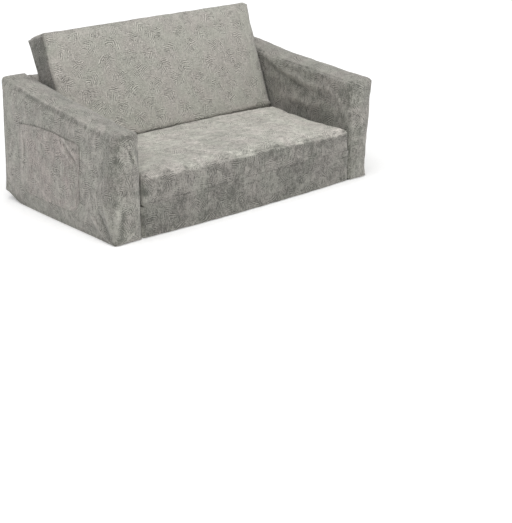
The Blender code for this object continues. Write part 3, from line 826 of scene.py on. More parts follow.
def plush(name, dark, light, blush):
    """Short pile plush: brushed nap, faint pressed sprigs, fuzz and a soft sheen, and painted light and shade
    in its colour.
    """
    look = Look(name)
    place = look.attribute("rest_place")
    tone, lying_x, lying_y = look.split(look.attribute("nap"))
    mottle = look.attribute("mottle", "Fac")

    # Nap: slow patches, streaks along the pile and fine fuzz
    patches = look.ramp(look.noise(place, 13.0, 2.0, 0.55, 0.8), 0.32, 0.68)
    clouds = look.ramp(look.noise(place, 42.0, 3.0, 0.6, 1.0), 0.32, 0.68)
    standing, along_x, along_y = (
        look.noise(look.product(place, factors), 110.0, 3.0, 0.62, 0.6)
        for factors in ((1.0, 1.0, 0.32), (0.3, 1.0, 1.0), (1.0, 0.3, 1.0))
    )
    streaks = look.times_plus(along_y, lying_y, look.times(along_x, lying_x))
    upright = look.minus(look.minus(1.0, lying_x), lying_y)
    streaks = look.ramp(look.times_plus(standing, upright, streaks), 0.3, 0.7)
    fuzz = look.ramp(look.noise(place, 300.0, 1.0, 0.7), 0.3, 0.7)

    # Sprigs: clusters of short pressed squiggles
    across, along, clear = look.split(look.attribute("motif"))
    radius = look.math("SQRT", look.times_plus(along, along, look.times(across, across)))
    ragged = look.times_plus(look.noise(place, 70.0, 1.0), 0.8, radius)
    inside = look.times_plus(mottle, 0.25, look.ramp(ragged, 1.66, 1.2), clamp=True)
    swirl = look.times(look.noise(place, 48.0, 0.0), 12.5)
    chevron = look.times_plus(look.math("ABSOLUTE", across), 1.3, along)
    waves = look.math("SINE", look.times_plus(chevron, 18.0, swirl))
    broken = look.ramp(look.noise(place, 90.0, 0.0), 0.33, 0.46)
    mask = look.times(look.times(inside, clear), broken)
    pressed = look.times(waves, mask)
    # Painted highlight on the crests of the pressed strokes
    painted_crest_light = look.times(look.ramp(waves, 0.0, -1.0), mask)

    # Colour, with painted shade in the pressed strokes, seams and fold grooves,
    # and painted highlights on the strokes' crests and fold ridges
    slow = look.minus(look.math("ADD", patches, clouds), 1.0)
    slow = look.times(look.times(slow, 0.3), mottle)
    lively = look.times_plus(mottle, 0.58, 0.5)
    fine = look.times_plus(streaks, 0.35, look.times_plus(fuzz, 0.54, -0.445))
    shade = look.times_plus(fine, lively, slow)
    for part, share in ((pressed, -0.38), (painted_crest_light, 0.42), (look.attribute("seam", "Fac"), -0.2)):
        shade = look.times_plus(part, share, shade)
    factor = look.math("ADD", shade, 0.5, clamp=True)
    warm = look.ramp(look.noise(place, 17.0, 2.0), 0.35, 0.65)
    tint = look.mix(warm, (0.985, 1.0, 0.975), blush)
    coloured = look.product(look.mix(factor, dark, light), tint)

    # Relief
    normal = look.bump(look.times(pressed, -1.0), 0.0008)
    normal = look.bump(streaks, 0.0016, Normal=normal)
    # Each side's painted light and shade scales the colour
    return look.surface(
        Base_Color=look.node("VectorMath", {0: coloured, "Scale": tone}, operation="SCALE"),
        Normal=look.bump(fuzz, 0.0008, Normal=normal),
        Roughness=0.95,
        Specular_IOR_Level=0.15,
        Sheen_Weight=0.45,
        Sheen_Roughness=0.45,
        Sheen_Tint=(1.0, 0.98, 0.94, 1.0),
    )


def woven(name, dark, light, scale, depth):
    """A plain woven tape or cloth."""
    look = Look(name)
    place = look.place()
    weave = look.times(look.wave(place, scale, "X"), look.wave(place, scale, "Z"))
    tone = look.times_plus(look.noise(place, 90.0, 2.0), 0.4, weave)
    return look.surface(
        Base_Color=look.mix(tone, dark, light),
        Normal=look.bump(weave, depth),
        Roughness=0.85,
        Sheen_Weight=0.2,
    )


def grip_cloth(name):
    """Dark matt cloth with rows of small rubber dots."""
    look = Look(name)
    place = look.place()
    spread = {"Vector": look.product(place, (1.0, 1.0, 0.0)), "Scale": 110.0, "Randomness": 0.0}
    dot = look.ramp(look.node("TexVoronoi", spread, "Distance"), 0.32, 0.22)
    weave = look.noise(place, 600.0, 2.0)
    tone = look.times_plus(weave, 0.4, look.times(dot, 0.6))
    return look.surface(
        Base_Color=look.mix(tone, (0.035, 0.035, 0.036), (0.16, 0.16, 0.155)),
        Normal=look.bump(look.times_plus(weave, 0.2, dot), 0.0008),
        Roughness=look.ramp(dot, 0.0, 1.0, 0.9, 0.45),
    )


def brushed_metal(name):
    """Satin metal of the zips' sliders and pulls."""
    look = Look(name)
    place = look.place()
    grain = look.noise(look.product(place, (1.0, 1.0, 0.08)), 4000.0, 3.0)
    wear = look.noise(place, 300.0, 2.0)
    return look.surface(
        Base_Color=look.mix(wear, (0.36, 0.36, 0.355), (0.55, 0.55, 0.54)),
        Normal=look.bump(grain, 0.0001),
        Roughness=look.ramp(grain, 0.3, 0.7, 0.28, 0.45),
        Metallic=1.0,
    )


def thread(name):
    """Twisted sewing thread."""
    look = Look(name)
    twist = look.wave(look.place(), 900.0, "DIAGONAL")
    return look.surface(
        Base_Color=look.mix(twist, (0.24, 0.23, 0.21), (0.42, 0.4, 0.37)),
        Normal=look.bump(twist, 0.0001),
        Roughness=0.7,
        Sheen_Weight=0.2,
    )


def moulded(name):
    """Matt moulded plastic of the zip teeth."""
    look = Look(name)
    grain = look.noise(look.place(), 1500.0, 2.0)
    return look.surface(
        Base_Color=look.mix(grain, (0.2, 0.195, 0.18), (0.31, 0.3, 0.28)),
        Normal=look.bump(grain, 0.00008),
        Roughness=look.ramp(grain, 0.3, 0.7, 0.38, 0.55),
    )


def floor_finish(name):
    """White studio floor."""
    return Look(name).surface(
        Base_Color=(0.985, 0.985, 0.985, 1.0),
        Emission_Color=WHITE,
        Emission_Strength=0.14,
        Roughness=0.7,
        Specular_IOR_Level=0.1,
    )


COVER = plush("plush_cover", (0.215, 0.215, 0.192), (0.62, 0.6, 0.55), (1.02, 0.992, 0.995))
POCKET_CLOTH = plush("pocket_plush", (0.215, 0.205, 0.188), (0.64, 0.6, 0.56), (1.035, 0.988, 0.99))
GRIP = grip_cloth("grip_cloth")
TAPE = woven("zip_tape_weave", (0.16, 0.155, 0.14), (0.34, 0.33, 0.3), 420.0, 0.0003)
TEETH = moulded("zip_teeth_plastic")
THREAD = thread("seam_thread")
METAL = brushed_metal("zip_satin_metal")


# Soft forms that the covers take


def pushed_right(points):
    """How far the seat's right front presses into the right arm."""
    front = beyond(points[:, Y], *PUSH_FROM)
    return RIGHT_PUSH * front * beyond(points[:, X], *PUSH_ACROSS)


def press_right(points):
    """What stands beside the right arm gives way to the right."""
    moved = points.copy()
    moved[:, X] += pushed_right(points)
    return moved


def raise_rear(moved, points, up):
    """An arm's top stands a little higher towards its rear."""
    moved[:, Z] += ARM_REAR_RISE * beyond(points[:, Y], *ARM_REAR_FROM) * beyond(up, *ARM_REAR_UP)


def lean_left_arm(points):
    """The left arm's outside is drawn in at its front top and spreads at its foot."""
    low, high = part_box("left_arm_cover")
    outer = np.clip((high.x - points[:, X]) / (high.x - low.x), 0.0, 1.0)
    up = np.clip(points[:, Z] / high.z, 0.0, 1.1)
    front = beyond(points[:, Y], *LEFT_LEAN_FROM)
    foot = np.clip(1.0 - up, 0.0, 1.0)
    spread = LEFT_REAR_FOOT * foot**0.8 * (1.0 - front)
    moved = points.copy()
    moved[:, X] += outer * (LEFT_TOP_IN * up**2 * front - LEFT_FRONT_FOOT * foot**1.5 * front - spread)
    raise_rear(moved, points, up)
    gaps = (points[:, X] - low.x, high.y - points[:, Y], points[:, Z])
    near_x, near_y, near_z = (smooth(1.0 - gap / reach) for gap, reach in zip(gaps, LEFT_REAR_REACH))
    moved[:, Z] += LEFT_REAR_LIFT * (near_x * near_y) * near_z
    return moved


def lean_right_arm(points):
    """The right arm's outside leans out at its top, and its inside gives way to the seat."""
    low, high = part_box("right_arm_cover")
    outer = np.clip((points[:, X] - low.x) / (high.x - low.x), 0.0, 1.0)
    up = np.clip(points[:, Z] / high.z, 0.0, 1.1)
    moved = press_right(points)
    moved[:, X] -= pushed_right(points) * outer
    front = beyond(points[:, Y], *RIGHT_LEAN_FROM)
    bulge = RIGHT_BULGE * bell(up - RIGHT_BULGE_AT, RIGHT_BULGE_WIDTH)
    moved[:, X] += outer * (RIGHT_TOP_OUT * up - RIGHT_FOOT_IN + bulge) * (0.6 + 0.4 * front)
    raise_rear(moved, points, up)
    moved[:, Z] += RIGHT_FRONT_RISE * front * beyond(up, *RIGHT_FRONT_UP)
    return moved


def spread_foot(points):
    """The base pad's front foot spreads forward, most in the middle of its width."""
    moved = press_right(points)
    middle = np.clip(1.0 - np.abs(points[:, X] / BASE_SPREAD_HALF) ** 2.5, 0.0, 1.0)
    front = beyond(points[:, Y], *BASE_SPREAD_FROM)
    foot = np.clip(1.0 - points[:, Z] / BASE_SPREAD_HEIGHT, 0.0, 1.0)
    moved[:, Y] -= BASE_SPREAD * middle * front * foot**1.4
    return moved


def press_seat(points):
    """The seat's nose drops towards its right end and stands a little higher at its left end."""
    moved = press_right(points)
    front = beyond(points[:, Y], *PUSH_FROM)
    upper = smooth((points[:, Z] - SEAT_LOW.z) / (SEAT_HIGH.z - SEAT_LOW.z))
    right = beyond(points[:, X], *SEAT_RIGHT_FROM)
    left = beyond(points[:, X], *SEAT_LEFT_FROM)
    moved[:, Z] += upper * front * (SEAT_LEFT_RISE * left - SEAT_RIGHT_FALL * right)
    middle = bell(points[:, Y] - SEAT_END_AT, SEAT_END_WIDTH)
    moved[:, X] -= SEAT_END_IN * upper * middle * beyond(points[:, X], *SEAT_END_FROM)
    return moved


def draw_in_backrest(points):
    """The backrest's top corners are drawn, as its cover pulls."""
    up = np.clip(points[:, Y] / BACKREST_END, 0.0, 1.0)
    right = beyond(points[:, X], *BACKREST_RIGHT_FROM)
    left = beyond(points[:, X], *BACKREST_LEFT_FROM)
    moved = points.copy()
    moved[:, X] -= BACKREST_RIGHT_IN * up**1.5 * right
    moved[:, X] -= BACKREST_LEFT_OUT * up**2 * left
    moved[:, Z] -= BACKREST_LEFT_BACK * up**3 * left * beyond(points[:, Z], *BACKREST_REAR_FROM)
    return moved


# What differs from arm to arm; folds are given by side, width, height and places, and strips of painted light
# and shade by side, axis, centre, width and gain; each side's tone and the folds' gain are painted light and
# shade
ARM_LOOKS = {
    "left": {
        "ends": (FLOOR_EDGE, ARM_TOP_EDGE),
        "crowns": (ARM_CROWN, 0, ARM_CROWN, 0, ARM_CROWN, 0),
        "settles": (0.8, 0, 0.8, 0, 0.8, 0.1),
        "tones": (0.77, 0.8, 0.77, 0.8, 0.645, 0.8),
        "mottles": (0.8, 0.6, 1.3, 0.8, 1, 1),
        "fold_tone": 2.4,
        "bends": (lean_left_arm,),
        "folds": [
            (LEFT, 0.0032, 0.0014, (0.29, 0.342), (0.197, 0.336), (-0.061, 0.308), (-0.29, 0.282)),
            (LEFT, 0.0038, -0.001, (0.29, 0.332), (0.197, 0.327), (-0.061, 0.299), (-0.29, 0.273)),
            (FRONT, 0.0036, -0.0026, (-0.452, 0.28), (-0.41, 0.2835), (-0.366, 0.28)),
            (FRONT, 0.0048, 0.004, (-0.438, 0.284), (-0.405, 0.251), (-0.382, 0.195)),
            (FRONT, 0.0048, 0.0034, (-0.442, 0.272), (-0.421, 0.239), (-0.401, 0.19)),
            (FRONT, 0.0042, -0.0028, (-0.431, 0.28), (-0.41, 0.246), (-0.39, 0.19)),
            (FRONT, 0.0048, 0.0026, (-0.442, 0.256), (-0.43, 0.225), (-0.42, 0.18)),
            (LEFT, 0.0056, 0.0034, (-0.16, 0.078), (-0.21, 0.037), (-0.262, -0.006)),
            (LEFT, 0.0056, 0.0034, (-0.224, 0.13), (-0.25, 0.065), (-0.27, -0.002)),
            (LEFT, 0.005, -0.0026, (-0.195, 0.098), (-0.235, 0.048), (-0.266, -0.004)),
            (FRONT, 0.0056, 0.003, (-0.44, 0.12), (-0.446, 0.055), (-0.447, -0.002)),
            (FRONT, 0.005, -0.0024, (-0.425, 0.095), (-0.434, 0.045), (-0.438, -0.002)),
        ],
        "bands": [
            (LEFT, Y, -0.24, 0.03, -0.14),
            (LEFT, Z, 0.01, 0.04, -0.17),
            (FRONT, Z, 0.3, 0.06, 0.06),
            (HIGH, Y, 0.22, 0.07, -0.07),
        ],
    },
    "right": {
        "ends": RIGHT_ARM_ENDS,
        "crowns": (ARM_CROWN, 0, ARM_CROWN, 0, 0, ARM_CROWN),
        "settles": (0.8, 0, 0.8, 0, 0.1, 0.8),
        "tones": (0.77, 0.8, 0.71, 0.8, 0.575, 0.8),
        "mottles": (0.8, 0.6, 1.3, 0.8, 1.7, 1),
        "fold_tone": 1.5,
        "bends": (lean_right_arm,),
        "folds": [
            (LEFT, 0.01, 0.005, (0.14, 0.33), (0.02, 0.285), (-0.1, 0.258), (-0.24, 0.252)),
            (LEFT, 0.009, -0.004, (0.12, 0.305), (0.0, 0.26), (-0.1, 0.236), (-0.2, 0.236)),
            (LEFT, 0.01, 0.0036, (0.02, 0.215), (-0.1, 0.196), (-0.2, 0.228)),
            (LEFT, 0.007, 0.003, (-0.16, 0.262), (-0.21, 0.238), (-0.25, 0.205)),
        ],
        "bands": [
            (LEFT, Y, -0.25, 0.045, 0.16),
            (LEFT, Y, 0.12, 0.06, 0.06),
            # Painted shadow on the inner side along the seat's top
            (LEFT, Z, 0.176, 0.02, -0.24),
            (FRONT, Z, 0.292, 0.04, -0.06),
        ],
    },
}


def standing(name, front_high=None, setback=0.0):
    """The outline and the span of a pad that stands on the floor."""
    low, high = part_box(f"{name}_cover")
    front = low.y + setback
    outline = [(front, FLOOR_LIFT), (high.y, FLOOR_LIFT), (high.y, high.z), (front, front_high or high.z)]
    return {"outline": outline, "span": (low.x, high.x)}


for side in ("left", "right"):
    add_pad(
        f"{side}_arm",
        "base",
        **standing(f"{side}_arm", ARM_FRONT_HEIGHT),
        edges=(FLOOR_EDGE, FLOOR_EDGE, ARM_REAR_EDGE, SOFT_EDGE),
        sides=(ARM_FRONT_EDGE, ARM_REAR_EDGE),
        cell=ARM_CELL,
        moves=(1, 0, 1, 0.3, 1, 1),
        streaks=(0.2, 0, 0, 0, 0, 0),
        streaks_along=(0.8, 0, 0, 0, 0, 0),
        end_shift=0.013,
        **ARM_LOOKS[side],
    )

add_pad(
    "back_panel",
    "base",
    **standing("back_panel"),
    edges=(FOLD_EDGE, FLOOR_EDGE, SOFT_EDGE, SOFT_EDGE),
    ends=(FOLD_EDGE, FOLD_EDGE),
    sides=(FOLD_EDGE, FOLD_EDGE),
    settles=(0.5, 0, 0, 0, 0, 0),
    moves=(0.6, 0, 0, 0.3, 0, 0),
    # Painted light and shade: a tone for each side, lighter on top
    tones=(0.9, 0.8, 0.8, 0.8, 0.8, 0.8),
    streaks=(0.8, 0, 0, 0, 0, 0),
)

BASE_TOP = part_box("base_pad_cover")[1].z
add_pad(
    "base_pad",
    "base",
    **standing("base_pad", setback=FRONT_SETBACK),
    edges=(FLOOR_EDGE, FOLD_EDGE, FOLD_EDGE, FOLD_EDGE),
    ends=(FLOOR_EDGE, FOLD_EDGE),
    sides=(UPRIGHT_EDGE, FOLD_EDGE),
    moves=(0.3, 0, 0.5, 0, 0, 0),
    # Painted light and shade: a tone for each side, darkest on the front, and a lighter strip across the
    # front
    tones=(0.9, 0.8, 0.53, 0.8, 0.8, 0.8),
    streaks=(1, 0, 0, 0, 0, 0),
    mottles=(0.85, 0.6, 1.5, 0.7, 1, 1),
    flush_at=BASE_TOP,
    bands=[(FRONT, Z, 0.09, 0.018, 0.05)],
    bends=(spread_foot,),
)

SEAT_LOW, SEAT_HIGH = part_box("seat_pad_cover")
TURN = math.pi / 2 - BACKREST_LEAN
CHAMFER = (SEAT_HIGH.z - SEAT_LOW.z) * math.tan(TURN / 2)
SEAT_TOP = SEAT_HIGH.z - CROWN
SEAT_FRONT = SEAT_LOW.y + FRONT_SETBACK
add_pad(
    "seat_pad",
    "seat_pad",
    parts=("cover", "sleeping_side", "foam"),
    outline=[
        (SEAT_FRONT, SEAT_LOW.z),
        (SEAT_HIGH.y, SEAT_LOW.z),
        (SEAT_HIGH.y - CHAMFER, SEAT_TOP),
        (SEAT_FRONT, SEAT_TOP),
    ],
    span=(SEAT_LOW.x + SEAT_ROOM[0], SEAT_HIGH.x - SEAT_ROOM[1]),
    edges=(FOLD_EDGE, FOLD_EDGE, CREASE_EDGE, NOSE_EDGE),
    ends=(SLEEPING_EDGE, SOFT_EDGE),
    sides=(UPRIGHT_EDGE, CREASE_EDGE),
    full_to=1.0,
    # Painted light and shade: the front lighter towards its top, lighter strips across the front and the top,
    # and a tone for each side
    glow=0.16,
    bands=[
        (FRONT, Z, 0.112, 0.026, 0.13),
        (HIGH, X, 0.29, 0.15, 0.13),
        (HIGH, X, -0.34, 0.07, 0.04),
    ],
    crowns=(CROWN, 0, 0, 0, 0, 0),
    settles=(0.7, 0, 0, 0, 0.1, 0.1),
    moves=(1, 0.2, 0.5, 0.3, 0.6, 0.6),
    tones=(1.2, 0.86, 0.54, 0.7, 0.75, 0.75),
    streaks=(1, 0.5, 0, 0, 0, 0),
    mottles=(0.85, 0.6, 1.5, 0.7, 1, 1),
    wrap_start=SEAT_LOW.z,
    flush_at=SEAT_LOW.z,
    bends=(press_seat,),
    fill=0.9,
)

# The backrest pad has its own upright frame: local y runs up along it, and local z points to the front
JOINTS = {joint["name"]: joint["pos_m"] for joint in frame["joints"] if "pos_m" in joint}
AXIS_Y, AXIS_Z = (float(JOINTS["backrest_unfold"][axis]) for axis in (Y, Z))


def backrest_place(points):
    """From the backrest pad's own frame to the sofa's."""
    y = points[:, Y] * math.cos(TURN) - points[:, Z] * math.sin(TURN)
    z = points[:, Y] * math.sin(TURN) + points[:, Z] * math.cos(TURN)
    return np.column_stack([points[:, X], y + AXIS_Y, z + AXIS_Z])


low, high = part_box("backrest_pad_cover")
BACKREST_FACE = BACKREST_FRONT - CROWN
add_pad(
    "backrest_pad",
    "backrest_pad",
    parts=("cover", "sleeping_side", "foam"),
    outline=[
        (BACKREST_START, BACKREST_REAR),
        (BACKREST_END + BACKREST_PUFF, BACKREST_REAR),
        (BACKREST_END + BACKREST_PUFF, BACKREST_FACE),
        (CHAMFER + CREASE_ROOM, BACKREST_FACE),
    ],
    span=(low.x + BACKREST_ROOM, high.x - BACKREST_ROOM),
    edges=(FOLD_EDGE, SOFT_EDGE, BACKREST_TOP_EDGE, CREASE_EDGE),
    ends=(SLEEPING_EDGE, SOFT_EDGE),
    sides=(CREASE_EDGE, BACKREST_FAR_EDGE),
    full_to=0.0,
    crowns=(CROWN, 0, 0, 0.002, 0, 0),
    settles=(0.7, 0, 0, 0.4, 0.3, 0.3),
    moves=(1, 0.2, 0.3, 0.4, 1, 1),
    # Painted light and shade: a tone for each side, darkest at the left end
    tones=(1.1, 0.86, 0.8, 0.9, 0.35, 0.6),
    mottles=(0.15, 0.4, 1, 0.8, 1, 1),
    streaks=(0, 0.5, 0, 0, 0, 0),
    streaks_along=(0.6, 0, 0, 0, 0, 0),
    wrap_start=0.017,
    bends=(draw_in_backrest, backrest_place),
    fill=0.9,
)

made = [make_pad(spec) for spec in PADS]
settle([pad for pad in made if any(pad["spec"]["settles"])])
for pad in made:
    finish_pad(pad)


# Folds: strips of cover cloth across the two fold lines


def fold_strip(name, node, outer, bodies, ends, length, tone, mottle):
    """A narrow strip of cover cloth between two pads, along x."""
    inset = STRIP_CELL / 2
    count = int((SEAT_HIGH.x - SEAT_LOW.x) / STRIP_CELL)
    across = np.linspace(SEAT_LOW.x + inset, SEAT_HIGH.x - inset, count + 1)
    grid = np.array([[(x, y, z) for y, z in outer] for x in across])
    grid = press_right(grid.reshape(-1, 3)).reshape(grid.shape)
    places, quads, normals = thick_sheet(grid, FOLD_THICKNESS)
    strip = make_piece(name, places, quads, COVER, None)
    size = len(places)
    none = np.zeros(size)
    # The strip's tone repeats the painted side shade of the faces it joins
    dress(strip, places, np.full((size, 2), 2.0), none, none, plain_nap(tone, size), np.full(size, mottle))
    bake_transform(strip)
    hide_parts(node)


def make_front_fold():
    """From the seat pad's front down to the base pad's."""
    flip_y, flip_z = JOINTS["seat_flip"][Y], JOINTS["seat_flip"][Z]
    outer = []
    for step in range(FOLD_STEPS + 1):
        share = step / FOLD_STEPS
        proud = (FOLD_PROUD + FOLD_SUNK) * math.sin(math.pi * share) ** 2 - FOLD_SUNK
        outer.append((SEAT_LOW.y - proud, flip_z + FOLD_REACH * (1.0 - 2.0 * share)))
    ends = [(flip_y, flip_z - FOLD_REACH * 0.5), (flip_y, flip_z + FOLD_REACH * 0.5)]
    bodies = ("base", "seat_pad")
    names = ("front_fold_plush", "seat_fold_seam")
    fold_strip(*names, outer, bodies, ends, 2 * FOLD_REACH, tone=0.53, mottle=1.5)


def make_backrest_fold():
    """From the seat pad's underside round to the backrest pad's rear side."""
    cosine, sine = math.cos(TURN), math.sin(TURN)
    straight = FOLD_REACH - FOLD_ARC
    outer = []
    for step in range(4):
        outer.append((AXIS_Y - FOLD_REACH + straight * step / 3, SEAT_LOW.z - 0.0001))
    for step in range(5):
        turn = TURN * step / 4
        outer.append((AXIS_Y + FOLD_ARC * math.sin(turn), AXIS_Z - FOLD_ARC * math.cos(turn)))
    for step in range(1, 4):
        reach = FOLD_ARC + straight * step / 3
        outer.append((AXIS_Y + reach * cosine + FOLD_LAP * sine, AXIS_Z + reach * sine - FOLD_LAP * cosine))
    length = sum(math.dist(a, b) for a, b in zip(outer, outer[1:]))
    middle = Vector((math.cos(TURN / 2), math.sin(TURN / 2)))
    step_y, step_z = middle.x * FOLD_BLEND, middle.y * FOLD_BLEND
    ends = [(AXIS_Y - step_y, AXIS_Z - step_z), (AXIS_Y + step_y, AXIS_Z + step_z)]
    bodies = ("seat_pad", "backrest_pad")
    names = ("backrest_fold_plush", "backrest_fold_seam")
    fold_strip(*names, outer, bodies, ends, length, tone=0.86, mottle=0.6)


def lining_point(share, low, high):
    """A place on the lining's front face, from its top edge down and round to its front edge."""
    turn = share * math.pi / 2
    top_y = high.y - LINING_THICKNESS
    fall = high.z - BASE_TOP - LINING_CLEARANCE
    forward = (top_y - low.y - LINING_WAIST) * (1.0 - math.cos(turn) ** LINING_POWER)
    drop = fall * math.sin(turn) ** LINING_POWER
    return top_y - LINING_WAIST * drop / fall - forward, high.z - drop


def make_lining():
    """One curved cloth from the back panel's top edge down to the base pad's top."""
    low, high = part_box("back_lining")
    shares = [step / LINING_SAMPLES for step in range(LINING_SAMPLES + 1)]
    samples = np.array([lining_point(share, low, high) for share in shares])
    samples_at = path_lengths(samples)[1]
    length = samples_at[-1]
    rows = int((high.x - low.x) / LINING_CELLS[0])
    columns = int(length / LINING_CELLS[1])
    along = np.linspace(0.0, length, columns + 1)
    across = np.linspace(low.x, high.x, rows + 1)
    grid = np.zeros((rows + 1, columns + 1, 3))
    grid[:, :, X] = across[:, None]
    grid[:, :, Y] = np.interp(along, samples_at, samples[:, 0])
    grid[:, :, Z] = np.interp(along, samples_at, samples[:, 1])
    flat = np.stack(np.broadcast_arrays(across[:, None], along[None, :]), axis=-1).reshape(-1, 2)
    places, quads, normals = thick_sheet(grid, LINING_THICKNESS)
    end_gap = np.minimum(flat[:, 0] - low.x, high.x - flat[:, 0])
    edge_gap = np.minimum(end_gap, np.minimum(flat[:, 1], length - flat[:, 1]))
    local, apart = motif_places(flat)
    clear = smooth(edge_gap / LINING_PLAIN) * apart
    count = len(flat)
    wave = LINING_WAVE * noise_at(places[:count], LINING_WAVE_LENGTH, 11) * smooth(edge_gap / LINING_HELD)
    wave -= sprig_depth(local, clear)
    places += normals * np.concatenate([wave, wave])[:, None]
    lining = make_piece("back_lining_plush", places, quads, COVER, "base")
    tone = LINING_TONE + LINING_TOP_TONE * (places[:count, Z] - low.z) / (high.z - low.z)
    # Painted shade along the lining's edges
    seam = bell(edge_gap, SEAM_REACH)
    dress_sheet(lining, places, local, clear, seam, plain_nap(tone, count), np.full(count, 0.6))
    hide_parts("back_lining")


# Wrinkles in the pocket's cloth, as the arms' folds
POCKET_FOLDS = [
    (LEFT, 0.0042, 0.0024, (-0.03, 0.243), (-0.064, 0.213), (-0.088, 0.195), (-0.108, 0.168)),
    (LEFT, 0.0036, -0.0022, (-0.036, 0.247), (-0.072, 0.221), (-0.098, 0.203), (-0.12, 0.176)),
    (LEFT, 0.004, 0.0022, (-0.046, 0.248), (-0.082, 0.228), (-0.106, 0.21), (-0.122, 0.188)),
    (LEFT, 0.0034, -0.0012, (-0.066, 0.246), (-0.094, 0.23), (-0.116, 0.212)),
    (LEFT, 0.0045, 0.0014, (0.15, 0.232), (0.14, 0.17), (0.148, 0.08)),
    (LEFT, 0.004, -0.0012, (0.136, 0.225), (0.128, 0.17), (0.136, 0.09)),
]


def pocket_grid(arm, low, high, rows, columns):
    """Places on the pocket's outside, each one's gap to the seam, its share of the hem and its flat place."""
    tree = BVHTree.FromPolygons(arm["placed"].tolist(), arm["quads"].tolist())
    length, height = high.y - low.y, high.z - low.z
    grid = np.zeros((rows + 1, columns + 1, 3))
    flat = np.zeros((rows + 1, columns + 1, 2))
    edge_gap = np.zeros((rows + 1, columns + 1))
    hem = np.zeros((rows + 1, columns + 1))
    for column in range(columns + 1):
        up = height * column / columns
        inset = 0.0
        if up < POCKET_CORNER:
            inset = POCKET_CORNER - math.sqrt(POCKET_CORNER**2 - (POCKET_CORNER - up) ** 2)
        for row in range(rows + 1):
            share = row / rows
            y = low.y + inset + (length - 2 * inset) * share
            z = low.z + up
            sag = -POCKET_SAG * (up / height) ** 3 * math.sin(math.pi * share**1.2)
            gap = min(y - low.y - inset, high.y - inset - y, up)
            bulge = POCKET_BULGE * smooth(gap / POCKET_BULGE_REACH) * (0.45 + 0.55 * smooth(up / height))
            bulge *= 1.0 - 0.8 * smooth((up - height + POCKET_MOUTH) / POCKET_MOUTH)
            hit = tree.ray_cast(Vector((-1.0, y, z - sag)), Vector((1.0, 0.0, 0.0)))
            grid[row, column] = (hit[0].x - POCKET_THICKNESS - POCKET_CLEARANCE - bulge, y, z - sag)
            flat[row, column] = (y - low.y, z)
            edge_gap[row, column] = gap
            hem[row, column] = (height - up) / POCKET_HEM_HEIGHT
    return grid, edge_gap.ravel(), hem.ravel(), flat.reshape(-1, 2)


def make_pocket(arm):
    """A patch of cloth sewn to the left arm's outside, open and bulging at its top, and its stitching."""
    low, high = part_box("side_pocket")
    length, height = high.y - low.y, high.z - low.z
    rows, columns = int(length / POCKET_CELL), int(height / POCKET_CELL)
    grid, edge_gap, hem, flat = pocket_grid(arm, low, high, rows, columns)
    count = len(flat)
    flat_points = grid.reshape(-1, 3) * (0, 1, 1)
    towards_x = np.tile((1.0, 0.0, 0.0), (count, 1))
    lifted, ridges = creased(flat_points, towards_x, POCKET_FOLDS, np.ones((count, 6)))
    lift = lifted[:, X]
    lift += POCKET_SWELL[0] * noise_at(flat_points, POCKET_SWELL[1], 21) * smooth(edge_gap / POCKET_HELD)
    lift += POCKET_RIPPLE[0] * noise_at(flat_points, POCKET_RIPPLE[1], 22)
    lift += HEM_RAISED * beyond(hem, *HEM_FOOT) - HEM_GROOVE * bell(hem - HEM_LINE, HEM_LINE_WIDTH)
    lift -= POCKET_SEAM_DEPTH * bell(edge_gap - POCKET_SEAM_GAP, POCKET_SEAM_WIDTH)
    grid[:, :, X] -= lift.reshape(rows + 1, columns + 1)
    places, quads, normals = thick_sheet(grid, POCKET_THICKNESS, flip=True)
    pocket = make_piece("side_pocket_plush", places, quads, POCKET_CLOTH, "base")
    local, apart = motif_places(flat + (0.02, 0.01))
    clear = apart * smooth(np.minimum(edge_gap, height - flat[:, 1] + low.z) / POCKET_PLAIN)
    # Painted shade along the pocket's seam, more towards its top, and along its hem line; painted highlights
    # and shade on its wrinkles
    raised = smooth((flat[:, 1] - low.z) / 0.06)
    seam = (0.15 + 0.4 * raised) * bell(edge_gap - POCKET_SEAM_GAP, 0.003)
    seam += 0.3 * bell(hem - HEM_LINE, 0.2) - 1.7 * ridges
    nap, mottle = plain_nap(POCKET_TONE, count), np.full(count, POCKET_MOTTLE)
    dress_sheet(pocket, places, local, clear, seam, nap, mottle)
    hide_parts("side_pocket", "pocket_hem")

    # Stitching round the pocket and along its hem
    seam_row = 2
    line = [grid[seam_row, column] for column in range(columns - 1, seam_row, -1)]
    line += [grid[row, seam_row] for row in range(seam_row, rows - seam_row + 1)]
    line += [grid[rows - seam_row, column] for column in range(seam_row + 1, columns)]
    hem_column = columns - int(round(POCKET_HEM_HEIGHT * HEM_STITCHES_AT / height * columns))
    for kind, path in (("seam", np.array(line)), ("hem", grid[1:-1, hem_column])):
        stitches(f"pocket_{kind}_stitches", path + (-0.0001, 0.0, 0.0), (-1.0, 0.0, 0.0), *POCKET_STITCH)


def make_underside(name):
    """Grip cloth that closes a pad which stands on the floor."""
    low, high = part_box(f"{name}_underside")
    rows = int((high.x - low.x) / UNDERSIDE_CELL)
    columns = int((high.y - low.y) / UNDERSIDE_CELL)
    across = np.linspace(low.x + UNDERSIDE_INSET, high.x - UNDERSIDE_INSET, rows + 1)
    along = np.linspace(low.y + UNDERSIDE_INSET, high.y - UNDERSIDE_INSET, columns + 1)
    grid = np.stack(np.broadcast_arrays(across[:, None], along[None, :], 0.0), axis=-1)
    places, quads, normals = thick_sheet(grid.copy(), -UNDERSIDE_THICKNESS)
    uneven = UNDERSIDE_UNEVEN * (noise_at(places, UNDERSIDE_UNEVEN_LENGTH, 31) + 1.0)
    places[: len(places) // 2, Z] += uneven[: len(places) // 2]
    if name == "left_arm":
        places = lean_left_arm(places)
    panel = make_piece(f"{name}_underside_cloth", places, quads[:, ::-1], GRIP, "base")
    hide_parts(f"{name}_underside")


